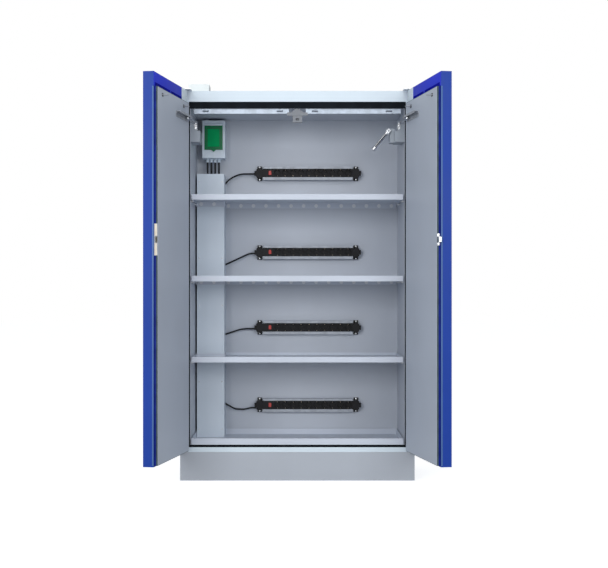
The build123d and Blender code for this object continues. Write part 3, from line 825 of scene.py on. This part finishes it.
    @staticmethod
    def copies(master: Piece, name: str, places: Iterable[Matrix]) -> Piece:
        """Copy a master to each place, join the copies and drop the master.

        Args:
            master: The piece that is modelled once.
            name: The joined piece's name.
            places: Where each copy goes.

        Returns:
            One piece that holds all the copies.
        """
        made = []
        for place in places:
            twin = bpy.data.objects.new(name, master.data.copy())
            bpy.context.scene.collection.objects.link(twin)
            twin.data.transform(place)
            made.append(twin)
        bpy.data.objects.remove(master)
        return Bench.join(name, made)

    @staticmethod
    def join(name: str, pieces: Sequence[Piece]) -> Piece:
        """Join pieces into one.

        Args:
            name: The joined piece's name.
            pieces: What is joined.

        Returns:
            The joined piece.
        """
        Bench.clear()
        for piece in pieces:
            piece.select_set(True)
        bpy.context.view_layer.objects.active = pieces[0]
        if len(pieces) > 1:
            bpy.ops.object.join()
        whole = bpy.context.view_layer.objects.active
        whole.name = name
        Bench.clear()
        return whole


def facing(way: Facing, x: float, y: float, z: float, spin: float = 0.0) -> Matrix:
    """Return the place of a part that was modelled looking up.

    Args:
        way: The direction that it looks in.
        x: Where it goes along X.
        y: Where it goes along Y.
        z: Where it goes along Z.
        spin: Its turn about its own axis, in degrees.

    Returns:
        The matrix that puts it there.
    """
    turn = Vector(Facing.UP.value).rotation_difference(Vector(way.value))
    spun = Matrix.Rotation(math.radians(spin), 4, "Z")
    return Matrix.Translation((x, y, z)) @ turn.to_matrix().to_4x4() @ spun


def fit(piece: Piece, finish: Finish, body: str) -> Piece:
    """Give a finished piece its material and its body.

    Args:
        piece: The finished piece.
        finish: What it is coated with.
        body: The body that it moves with.

    Returns:
        The same piece.
    """
    piece.data.materials.clear()
    piece.data.materials.append(finish.material())
    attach(piece, body)
    log.info("%s fitted to %s", piece.name, body)
    return piece


def scatter(
    master: Piece, name: str, places: Iterable[Matrix], finish: Finish,
    body: str = "cabinet",
) -> Piece:
    """Fit copies of one master, joined into a single piece, and return it."""
    return fit(Bench.copies(master, name, places), finish, body)


def coat(nodes: dict[str, Piece], finish: Finish, names: str) -> None:
    """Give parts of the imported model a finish.

    Args:
        nodes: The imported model's parts by name.
        finish: What they are coated with.
        names: Which parts, with spaces between them.
    """
    material = finish.material()
    for name in names.split():
        part = nodes[name]
        if not part.material_slots:
            part.data.materials.append(material)
        for place in part.material_slots:
            place.material = material
        log.info("%s coated with %s", name, finish.name)


def pivot(joints: Sequence[dict], name: str) -> Vector:
    """Return the point in metres that the named joint turns about."""
    return Vector(next(joint for joint in joints if joint["name"] == name)["pos_m"])


class Fasteners:
    """Screw and bolt heads, each modelled looking up on its seat."""

    @staticmethod
    def pan_screw(name: str, radius: float, height: float, sides: int = 14) -> Piece:
        """Return a pan-head screw's head with a sunk drive.

        Args:
            name: The master's name.
            radius: The head's radius.
            height: The head's height.
            sides: How round the head is.

        Returns:
            The head, its seat at the origin.
        """
        def in_drive(centre: Vector, normal: Vector) -> bool:
            """Accept the face in the middle of the top."""
            return (normal.z > SQUARE and centre.xy.length < radius * 0.2
                    and abs(centre.z - height) < TOUCH)

        def on_rim(*ends: Vector) -> bool:
            """Accept the edges round the top."""
            return all(
                abs(end.z - height) < TOUCH and end.xy.length > radius * 0.9 for end in ends)

        head = Bench.round_bar(name, radius, height, sides)
        Bench.step(head, UPPER, radius * 0.52, STILL)
        Bench.step(head, in_drive, 0.0, (0, 0, -height * 0.6))
        Bench.ease(head, height * 0.45, 2, on_rim)
        return Bench.neaten(head)

    @staticmethod
    def hex_bolt(name: str, radius: float, height: float) -> Piece:
        """Return a hexagon bolt head on its washer.

        Args:
            name: The master's name.
            radius: Half the head's width over its corners.
            height: The height of head and washer.

        Returns:
            The head, its washer's seat at the origin.
        """
        seat = height * 0.22
        washer = Bench.round_bar(name, radius * 1.35, seat, 20)
        Bench.ease(washer, height * 0.06, 1)
        head = Bench.round_bar(name, radius, height * 0.78, 6, seat)
        Bench.step(head, UPPER, radius * 0.16, (0, 0, height * 0.06))
        Bench.ease(head, height * 0.05, 1)
        return Bench.neaten(Bench.join(name, [washer, head]), 25)


# -------------------------------------------------------------- sub-assemblies


@dataclass
class Studio:
    """Floor, lights and camera."""

    eye: Point = (0.0, -6.826, 0.975)
    lens: float = 76.6
    film: float = 36.0
    shift: Span = (0.0109, 0.0090)
    floor_size: float = 60.0
    sky: float = 0.45
    sky_colour: Colour = (0.97, 0.985, 1.0)

    def build(self) -> None:
        """Lay the floor, hang the lights and set the camera."""
        self.lay_floor()
        self.hang_lights()
        self.light_air()
        self.set_camera()

    def lay_floor(self) -> None:
        """Lay pale paper just under the cabinet's foot."""
        Bench.clear()
        bpy.ops.mesh.primitive_plane_add(size=self.floor_size, location=(0, 0, -0.5 * MM))
        floor = Bench.settle("studio_floor")
        floor.data.materials.append(StudioPaper().material())

    def hang_lights(self) -> None:
        """Hang a high softbox, two front softboxes, a side fill and a low one."""
        boxes = (
            ("high_softbox", (-0.3, -3.8, 3.9), (0.0, 0.0, 1.3), 2.4, 1.4, 34.0),
            ("left_softbox", (-3.1, -8.0, 2.5), (0.0, 0.0, 1.0), 2.8, 2.4, 190.0),
            ("right_softbox", (3.1, -8.0, 2.5), (0.0, 0.0, 1.0), 2.8, 2.4, 140.0),
            ("left_fill", (-4.6, -2.6, 2.2), (0.0, 0.0, 1.0), 2.0, 2.6, 12.0),
            ("low_fill", (0.0, -3.4, 0.15), (0.0, 0.0, 1.5), 3.2, 0.5, 6.0),
        )
        for name, place, aim, width, height, power in boxes:
            Bench.clear()
            turn = (Vector(place) - Vector(aim)).to_track_quat("Z", "Y").to_euler()
            bpy.ops.object.light_add(type="AREA", location=place, rotation=turn)
            lamp = bpy.context.object
            lamp.name = name
            lamp.data.shape = "RECTANGLE"
            lamp.data.size = width
            lamp.data.size_y = height
            lamp.data.energy = power

    def light_air(self) -> None:
        """Fill the air with soft light, white where the camera looks into it."""
        world = bpy.data.worlds.new("studio_air")
        bpy.context.scene.world = world
        world.use_nodes = True
        world.node_tree.nodes.clear()
        graph = Graph(world.node_tree)
        mix = graph.add("ShaderNodeMixShader")
        path = graph.add("ShaderNodeLightPath")
        graph.wire(path.outputs["Is Camera Ray"], mix.inputs[0])
        skies = ((self.sky_colour, self.sky), ((1.0, 1.0, 1.0), 1.0))
        for place, (colour, strength) in enumerate(skies, 1):
            air = graph.add("ShaderNodeBackground")
            air.inputs["Color"].default_value = (*colour, 1.0)
            air.inputs["Strength"].default_value = strength
            graph.wire(air.outputs[0], mix.inputs[place])
        out = graph.add("ShaderNodeOutputWorld")
        graph.wire(mix.outputs[0], out.inputs["Surface"])

    def set_camera(self) -> None:
        """Set the camera level, at chest height in front of the cabinet."""
        Bench.clear()
        bpy.ops.object.camera_add(location=self.eye, rotation=(math.pi / 2, 0, 0))
        camera = bpy.context.object
        camera.name = "front_camera"
        camera.data.lens = self.lens
        camera.data.sensor_width = self.film
        camera.data.shift_x, camera.data.shift_y = self.shift
        bpy.context.scene.camera = camera
        bpy.context.scene.view_settings.view_transform = "Standard"


@dataclass
class CabinetBody:
    """What is bolted to the roof, its housing and the cable duct."""

    cap_inset: Span = (0.19, 0.11)
    cap_rear: float = 0.06
    housing_inset: float = 0.02
    duct_shares: tuple[float, ...] = (0.03, 0.21, 0.5, 0.68, 0.97)

    def build(self) -> None:
        """Fit the hardware of the body."""
        self.fit_hinge_bolts()
        self.fit_roof_caps()
        self.fit_housing_screws()
        self.fit_gland_nut()
        self.fit_duct_screws()

    def fit_hinge_bolts(self) -> None:
        """Bolt the top hinge plates to the roof."""
        plate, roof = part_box("hinge_brackets")[1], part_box("roof")[1]
        xs = [side * (roof.x - inset) for side in (-1, 1) for inset in (14 * MM, 44 * MM)]
        bolt = Fasteners.hex_bolt("hinge_bolt", 6.5 * MM, 5.0 * MM)
        scatter(bolt, "hinge_bolts", [
            facing(Facing.UP, x, plate.y - 14 * MM, plate.z, 17.0 * number)
            for number, x in enumerate(xs)], ZINC)

    def fit_roof_caps(self) -> None:
        """Close the four lifting holes with plastic caps."""
        low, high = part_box("roof")
        cap = Bench.round_bar("lifting_cap", 11.0 * MM, 1.6 * MM, 24)
        Bench.step(cap, UPPER, 2.2 * MM, (0, 0, 0.9 * MM))
        Bench.inset(cap, lambda c, n: n.z > SQUARE and c.z > 2 * MM, 3.0 * MM, -0.6 * MM)
        Bench.ease(cap, 0.4 * MM, 2)
        Bench.neaten(cap)
        side, front = self.cap_inset
        scatter(cap, "lifting_caps", [
            facing(Facing.UP, x, y, high.z) for x in (low.x + side, high.x - side)
            for y in (low.y + front, high.y - self.cap_rear)], BLACK)

    def fit_housing_screws(self) -> None:
        """Hold the roof housing down with four screws on its sides."""
        low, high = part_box("roof_housing")
        screw = Fasteners.pan_screw("housing_screw", 4.0 * MM, 2.4 * MM)
        scatter(screw, "housing_screws", [
            facing(way, x, y, low.z + 14 * MM)
            for way, x in ((Facing.LEFT, low.x), (Facing.RIGHT, high.x))
            for y in (low.y + self.housing_inset, high.y - self.housing_inset)], ZINC)

    def fit_gland_nut(self) -> None:
        """Put the hexagon nut on the mains gland."""
        low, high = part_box("mains_gland")
        mid = (low + high) / 2
        nut = Bench.round_bar("mains_gland_nut", 18.5 * MM, 7 * MM, 6)
        Bench.step(nut, UPPER, 3.5 * MM, (0, 0, 1.5 * MM))
        Bench.inset(nut, ENDS, 0.6 * MM)
        Bench.ease(nut, 0.5 * MM, 1)
        Bench.neaten(nut)
        place = facing(Facing.BACK, mid.x, high.y - 13 * MM, mid.z)
        scatter(nut, "mains_gland_nut", [place], BOX)

    def fit_duct_screws(self) -> None:
        """Screw the cable duct's cover on."""
        low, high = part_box("cable_duct")
        screw = Fasteners.pan_screw("duct_screw", 3.6 * MM, 2.0 * MM, 12)
        levels = [low.z + share * (high.z - low.z) for share in self.duct_shares]
        scatter(screw, "duct_screws", [
            facing(Facing.FRONT, x, low.y, z, 30 * z)
            for z in levels for x in (low.x + 12 * MM, high.x - 12 * MM)], ZINC)


@dataclass
class SocketStrips:
    """Collars, contacts, cap screws and switch frames of the strips."""

    wells: int = 10
    first_well: float = -108.2 * MM
    pitch: float = 42.77 * MM
    well_radius: float = 19.0 * MM
    ear_reach: float = 33.0 * MM
    levels: list[float] = field(init=False)
    face: float = field(init=False)

    def __post_init__(self) -> None:
        """Find the strips' heights and their front."""
        switches = [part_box(f"rocker_{number}") for number in range(1, 5)]
        self.levels = [(low.z + high.z) / 2 for low, high in switches]
        self.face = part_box("strip_blocks")[0].y

    def build(self) -> None:
        """Fit socket collars, contacts, cap screws and switch frames."""
        self.fit_collars()
        self.fit_contacts()
        self.fit_cap_screws()
        for number in range(1, 5):
            self.fit_switch_frame(number)

    def at_wells(self, *spins: float) -> list[Matrix]:
        """Return each socket's place, once for each spin in degrees."""
        return [
            facing(Facing.FRONT, self.first_well + self.pitch * count, self.face, level, spin)
            for level in self.levels for count in range(self.wells) for spin in spins]

    def fit_collars(self) -> None:
        """Give each well its raised collar."""
        ring = Bench.round_bar("socket_collar", self.well_radius + 1.6 * MM, 0.8 * MM, 24)
        Bench.inset(ring, ENDS, 1.7 * MM)
        Bench.pierce(
            ring, lambda c, n: abs(n.z) > SQUARE and c.xy.length < self.well_radius * 0.2)
        Bench.ease(ring, 0.25 * MM, 1)
        Bench.neaten(ring)
        scatter(ring, "socket_collars", self.at_wells(0.0), BLACK)

    def fit_contacts(self) -> None:
        """Put the two spring contacts in each well."""
        clip = Bench.block("earth_clip", (-2.2 * MM, 2.2 * MM), (16.2 * MM, 17.6 * MM),
                           (-12 * MM, -1.2 * MM))
        Bench.step(clip, UPPER, 0.3 * MM, (0, -0.9 * MM, 0.9 * MM))
        Bench.ease(clip, 0.2 * MM, 1)
        Bench.neaten(clip)
        scatter(clip, "earth_clips", self.at_wells(0.0, 180.0), BRASS)

    def fit_cap_screws(self) -> None:
        """Screw each end cap's two ears to the wall."""
        low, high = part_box("strip_caps")
        ears = (low.x + 27.7 * MM, high.x - 27.2 * MM)
        screw = Fasteners.pan_screw("cap_screw", 4.4 * MM, 2.6 * MM)
        scatter(screw, "cap_screws", [
            facing(Facing.FRONT, x, high.y - 12 * MM,
                   level - 1.5 * MM + side * self.ear_reach, 20 * side)
            for level in self.levels for x in ears for side in (-1, 1)], ZINC)

    def fit_switch_frame(self, number: int) -> None:
        """Frame one rocker switch.

        Args:
            number: The strip's number, from the lowest.
        """
        low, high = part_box(f"rocker_{number}")
        mid = (low + high) / 2
        frame = Bench.block(
            f"switch_frame_{number}", (low.x + 0.6 * MM, high.x - 0.6 * MM),
            (self.face - 0.9 * MM, self.face), (low.z - 3 * MM, high.z + 3 * MM))
        Bench.inset(frame, DEEP, 1.9 * MM)
        Bench.pierce(frame, lambda c, n: abs(n.y) > SQUARE
                     and abs(c.x - mid.x) < MM and abs(c.z - mid.z) < MM)
        Bench.ease(frame, 0.3 * MM, 2)
        fit(Bench.neaten(frame), BLACK, "cabinet")


@dataclass
class BreakerBox:
    """The breaker box's screws, gland nuts and green lid."""

    nodes: dict[str, Piece]
    knuckle_height: float = 10.4 * MM
    depth: float = 110 * MM
    height: float = 202 * MM

    def build(self) -> None:
        """Coat the lid in two colours, and fit screws, nuts and the pane."""
        low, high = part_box("breaker_box")
        lid_low, lid_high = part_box("breaker_lid")
        knuckle = lid_high.z - self.knuckle_height
        coat(self.nodes, replace(LID, second=BOX.colour, above=knuckle), "breaker_lid")
        base = high.z - self.height
        screw = Fasteners.pan_screw("cover_screw", 4.0 * MM, 1.4 * MM)
        scatter(screw, "cover_screws", [
            facing(Facing.FRONT, x, high.y - self.depth, z, 25)
            for x in (low.x + 8 * MM, high.x - 8 * MM)
            for z in (base + 9 * MM, high.z - 9 * MM)], BOX)
        self.fit_gland_nuts(base)
        self.fit_pane(lid_low, lid_high)

    def fit_gland_nuts(self, base: float) -> None:
        """Put a hexagon nut on each cable gland.

        Args:
            base: The height of the box's underside.
        """
        low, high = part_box("feeder_cables")
        mid, half = (low + high) / 2, (high.x - low.x) / 2 - 5 * MM
        nut = Bench.round_bar("gland_nut", 9.6 * MM, 6 * MM, 6)
        Bench.step(nut, ENDS, 1.2 * MM, STILL)
        Bench.ease(nut, 0.4 * MM, 1)
        Bench.neaten(nut)
        scatter(nut, "gland_nuts", [
            facing(Facing.DOWN, mid.x + half * share, mid.y, base - 6.2 * MM, 12)
            for share in (-1.0, -1 / 3, 1 / 3, 1.0)], BOX)

    def fit_pane(self, low: Vector, high: Vector) -> None:
        """Set the brighter pane into the lid's raised middle.

        Args:
            low: The lid's lowest corner.
            high: The lid's highest corner.
        """
        x = (low.x + high.x) / 2
        pane = Bench.block(
            "lid_pane", (x - 32 * MM, x + 32 * MM), (low.y - 0.9 * MM, low.y + 0.2 * MM),
            (low.z + 27 * MM, high.z - 30 * MM))
        Bench.inset(pane, FRONT, 3 * MM, -0.4 * MM)
        Bench.ease(pane, 0.35 * MM, 2)
        fit(Bench.neaten(pane), PANE, "breaker_lid")


@dataclass
class ClosingGear:
    """Bolts of the closers, and the black strip painted as shade in the sequence lever's
    groove.
    """

    joints: list[dict]
    lever_turn: float = -140.3
    lever_radius: float = 9.0 * MM
    arm_inset: float = 25.7 * MM
    bearing_inset: float = 27 * MM

    def build(self) -> None:
        """Fit the bolts of the closing gear and the black strip painted as shade in the lever's
        groove.
        """
        for side in Side:
            self.fit_arm_bolt(side)
        self.fit_housing_bolts()
        self.fit_lever_grip()

    def fit_housing_bolts(self) -> None:
        """Bolt each closer's arm bearing through its front."""
        low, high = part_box("closer_housings")
        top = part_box("closer_arm_left")[0].z
        bolt = Fasteners.hex_bolt("bearing_bolt", 5.4 * MM, 5.0 * MM)
        scatter(bolt, "bearing_bolts", [
            facing(Facing.FRONT, side.value * (high.x - self.bearing_inset), low.y,
                   top - drop, 20 * side.value)
            for side in Side for drop in (9.0 * MM, 22.0 * MM)], BRIGHT)

    def fit_lever_grip(self) -> None:
        """Inlay a black strip along the front of the sequence lever, painted shade standing for
        the dark groove of its channel.
        """
        front = -self.lever_radius
        # Black strip: painted shade where the lever's channel groove lies in shadow.
        groove_shade = Bench.block("lever_grip", (-2.6 * MM, 2.6 * MM),
                           (front - 0.7 * MM, front + 1.2 * MM), (24 * MM, 110 * MM))
        Bench.ease(groove_shade, 1.6 * MM, 3, runs_deep)
        Bench.inset(groove_shade, FRONT, 0.8 * MM, -0.25 * MM)
        Bench.neaten(groove_shade)
        turn = Matrix.Rotation(math.radians(self.lever_turn), 4, "Y")
        groove_shade.data.transform(
            Matrix.Translation(pivot(self.joints, "sequence_lever_pivot")) @ turn)
        fit(groove_shade, BLACK, "sequence_lever")

    def fit_arm_bolt(self, side: Side) -> None:
        """Cap the pivot of one closer arm.

        Args:
            side: Which closer.
        """
        name, arm = f"arm_bolt_{side.word}", f"closer_arm_{side.word}"
        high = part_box(arm)[1]
        x = side.value * (abs(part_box("closer_housings")[1].x) - self.arm_inset)
        bolt = Fasteners.pan_screw(name, 7.0 * MM, 0.8 * MM, 20)
        place = facing(Facing.UP, x, high.y - 10 * MM, high.z - 0.5 * MM, 11)
        scatter(bolt, name, [place], ZINC, body=arm)


@dataclass
class Door:
    """The trim of one insulated door.

    Every piece is modelled on the closed left door. It is then turned to
    where that door stands open, and mirrored for the right door.
    """

    joints: list[dict]
    side: Side
    open_turn: float = 100.0
    width: float = 597.0 * MM
    hinge_margin: float = 30.0 * MM
    free_margin: float = 8.0 * MM
    cover_width: float = 104.0 * MM
    lock_height: float = 1206.0 * MM
    gap: float = 0.8 * MM
    pin: Vector = field(init=False)
    inner: float = field(init=False)
    face: float = field(init=False)
    hinge_edge: float = field(init=False)
    free_edge: float = field(init=False)
    plug: Span = field(init=False)
    span: Span = field(init=False)
    band: Span = field(init=False)

    def __post_init__(self) -> None:
        """Find the closed left door's edges from its hinge and its sheets."""
        self.pin = pivot(self.joints, "door_left_hinge")
        self.pin.z = 0.0
        self.inner = self.pin.y + 24.0 * MM
        self.face = self.pin.y + 42.0 * MM
        self.hinge_edge = self.pin.x - 12.5 * MM
        self.free_edge = self.hinge_edge + self.width
        self.plug = (self.hinge_edge + self.hinge_margin, self.free_edge - self.free_margin)
        low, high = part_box(f"door_{self.side.word}_seal")
        self.span = (low.z, high.z)
        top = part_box(f"door_{self.side.word}_shell")[1].z
        self.band = (high.z + self.gap, top - self.gap)

    def build(self) -> None:
        """Fit the trim on the door's inner side and edges."""
        self.fit_skirt()
        self.fit_edge_fold()
        self.fit_top_band()
        self.fit_hinge_cover()
        self.fit_tongue_slots()
        if self.side is Side.LEFT:
            self.fit_strike_pad()
        else:
            self.fit_bolt_mask()

    def named(self, stem: str) -> str:
        """Return a piece's name with the door's side."""
        return f"{stem}_{self.side.word}"

    def place(self, piece: Piece, finish: Finish, slot: str) -> None:
        """Finish a piece made on the closed left door and fit it where it is.

        Args:
            piece: The piece.
            finish: What it is coated with.
            slot: The record's material slot; not used.
        """
        Bench.neaten(piece)
        swing = Matrix.Rotation(-math.radians(self.open_turn), 4, "Z")
        piece.data.transform(
            Matrix.Translation(self.pin) @ swing @ Matrix.Translation(-self.pin))
        if self.side is Side.RIGHT:
            piece.data.transform(Matrix.Scale(-1.0, 4, (1, 0, 0)))
            piece.data.flip_normals()
        fit(piece, finish, self.named("door"))

    def bars(self, name: str, ease: float, *limits: tuple[Span, Span, Span]) -> Piece:
        """Return eased bars joined into one piece.

        Args:
            name: The joined piece's name.
            ease: The width of their rounded edges.
            *limits: Each bar's limits along X, Y and Z.

        Returns:
            The joined piece.
        """
        made = [Bench.block(name, *limit) for limit in limits]
        for piece in made:
            Bench.ease(piece, ease, 2)
        return Bench.join(name, made)

    def fit_skirt(self) -> None:
        """Wrap the raised inner part in its folded blue skirt, coated dark navy as painted
        shade on the blue plug side.
        """
        proud, sunk, y = 0.35 * MM, 0.15 * MM, (self.inner, self.inner + 9.5 * MM)
        (x0, x1), (z0, z1) = self.plug, self.span
        gap = 75 * MM if self.side is Side.LEFT else 16 * MM
        skirt = self.bars(
            self.named("plug_skirt"), 0.12 * MM,
            ((x0 - proud, x0 + sunk), y, (z0 - proud, z1 + proud)),
            ((x1 - sunk, x1 + proud), y, (z0 - proud, self.lock_height - gap)),
            ((x1 - sunk, x1 + proud), y, (self.lock_height + gap, z1 + proud)),
            ((x0, x1), y, (z0 - proud, z0 + sunk)),
            ((x0, x1), y, (z1 - sunk, z1 + proud)))
        self.place(skirt, SKIRT_PAINTED_SHADE, "door_paint")

    def fit_edge_fold(self) -> None:
        """Run the fold down the free edge beside the plug, coated a lighter blue than the door
        as a painted highlight.
        """
        x, y = self.free_edge, self.inner
        fold = Bench.block(
            self.named("edge_fold"), (x, x + 0.5 * MM), (y - 7.5 * MM, y - 0.3 * MM), self.span)
        Bench.step(fold, OUTER, 1.2 * MM, (0.4 * MM, 0, 0))
        Bench.ease(fold, 0.18 * MM, 2)
        self.place(fold, FOLD_HIGHLIGHT, "door_paint")

    def fit_top_band(self) -> None:
        """Cover the band above the plug and lay its two dark strips."""
        y = self.inner
        x0, x1 = self.hinge_edge + self.cover_width + self.gap, self.free_edge - self.gap
        band = Bench.block(self.named("top_band"), (x0, x1), (y, y + 0.7 * MM), self.band)
        Bench.step(band, REAR, 3.0 * MM, (0, 0.4 * MM, 0))
        Bench.ease(band, 0.2 * MM, 2)
        self.place(band, BAND, "door_paint")
        strips = []
        middle, z0 = x0 + 0.42 * (x1 - x0), self.band[0]
        for x in ((x0 + 4 * MM, middle - 10 * MM), (middle + 10 * MM, x1 - 16 * MM)):
            strip = Bench.block(self.named("fire_strip"), x, (y + 1.0 * MM, y + 2.2 * MM),
                                (z0 + 3.2 * MM, z0 + 19 * MM))
            Bench.inset(strip, REAR, 2.4 * MM, -0.4 * MM)
            Bench.ease(strip, 0.3 * MM, 2)
            strips.append(strip)
        self.place(Bench.join(self.named("fire_strips"), strips), STRIP_SEAL, "door_paint")

    def fit_hinge_cover(self) -> None:
        """Cap the band's hinge end with a body-coloured cover and its screws."""
        y = self.inner
        x0, x1 = self.hinge_edge + self.gap, self.hinge_edge + self.cover_width
        cover = Bench.block(self.named("hinge_cover"), (x0, x1), (y, y + 1.5 * MM), self.band)
        Bench.ease(cover, 6.0 * MM, 4, runs_deep)
        Bench.step(cover, REAR, 2.0 * MM, (0, 0.5 * MM, 0))
        Bench.ease(cover, 0.25 * MM, 2)
        self.place(cover, BODY, "body_paint")
        name = self.named("hinge_cover_screws")
        screw = Fasteners.pan_screw(name, 3.4 * MM, 1.6 * MM)
        screws = Bench.copies(screw, name, [
            facing(Facing.BACK, x, y + 2.0 * MM, sum(self.band) / 2, 20)
            for x in (x0 + 20 * MM, x1 - 16 * MM)])
        self.place(screws, ZINC, "zinc")

    def fit_tongue_slots(self) -> None:
        """Frame the slots that the two alignment tongues come out of, in black that is painted
        shade standing for the slots' dark openings.
        """
        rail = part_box("closer_rails")[1]
        level = rail.z - 12.25 * MM
        slots = []
        for reach, half in ((89.5 * MM, 11.5 * MM), (rail.x - 59.6 * MM, 10.5 * MM)):
            frame = Bench.block(
                self.named("tongue_slot"), (-reach - half, -reach + half),
                (self.face, self.face + 0.8 * MM), (level - 8.0 * MM, level + 8.0 * MM))
            Bench.ease(frame, 3.0 * MM, 3, runs_deep)
            Bench.inset(frame, REAR, 1.8 * MM, -0.4 * MM)
            Bench.ease(frame, 0.15 * MM, 1)
            slots.append(frame)
        # Their black is painted shade for the openings of the slots.
        self.place(Bench.join(self.named("tongue_slots"), slots), BLACK, "black_plastic")

    def fit_strike_pad(self) -> None:
        """Lay the pale pad over the strike, above and below the bolt's pocket."""
        x, y = self.plug[1] + 1.5 * MM, self.inner
        pads = []
        for low, high in ((-72 * MM, -17 * MM), (17 * MM, 72 * MM)):
            pad = Bench.block("strike_pad", (x, x + 0.8 * MM), (y + 2.0 * MM, y + 14.5 * MM),
                              (self.lock_height + low, self.lock_height + high))
            Bench.step(pad, OUTER, 1.5 * MM, (0.5 * MM, 0, 0))
            Bench.ease(pad, 0.25 * MM, 2)
            pads.append(pad)
        self.place(Bench.join("strike_pads", pads), PAD, "buffer_plastic")

    def fit_bolt_mask(self) -> None:
        """Frame the way that the latch bolt comes out of."""
        x = (self.plug[1], self.plug[1] + 0.9 * MM)
        y = (self.inner + 3.2 * MM, self.inner + 16.3 * MM)
        plates = [
            (x, y, (self.lock_height + low, self.lock_height + high))
            for low, high in ((-28 * MM, -12.8 * MM), (12.8 * MM, 28 * MM))]
        self.place(self.bars("bolt_mask", 0.25 * MM, *plates), ZINC, "zinc")


def main() -> None:
    """Build the whole cabinet's looks in order."""
    logging.basicConfig(level=logging.INFO, format="%(message)s")
    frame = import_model()
    nodes, joints = frame["nodes"], frame["joints"]
    Studio().build()
    for finish, names in COATS:
        coat(nodes, finish, names)
    groups = (
        CabinetBody(), SocketStrips(), BreakerBox(nodes), ClosingGear(joints),
        *[Door(joints, side) for side in Side],
    )
    for group in groups:
        group.build()
        log.info("%s finished", type(group).__name__)


if __name__ == "__main__":
    main()
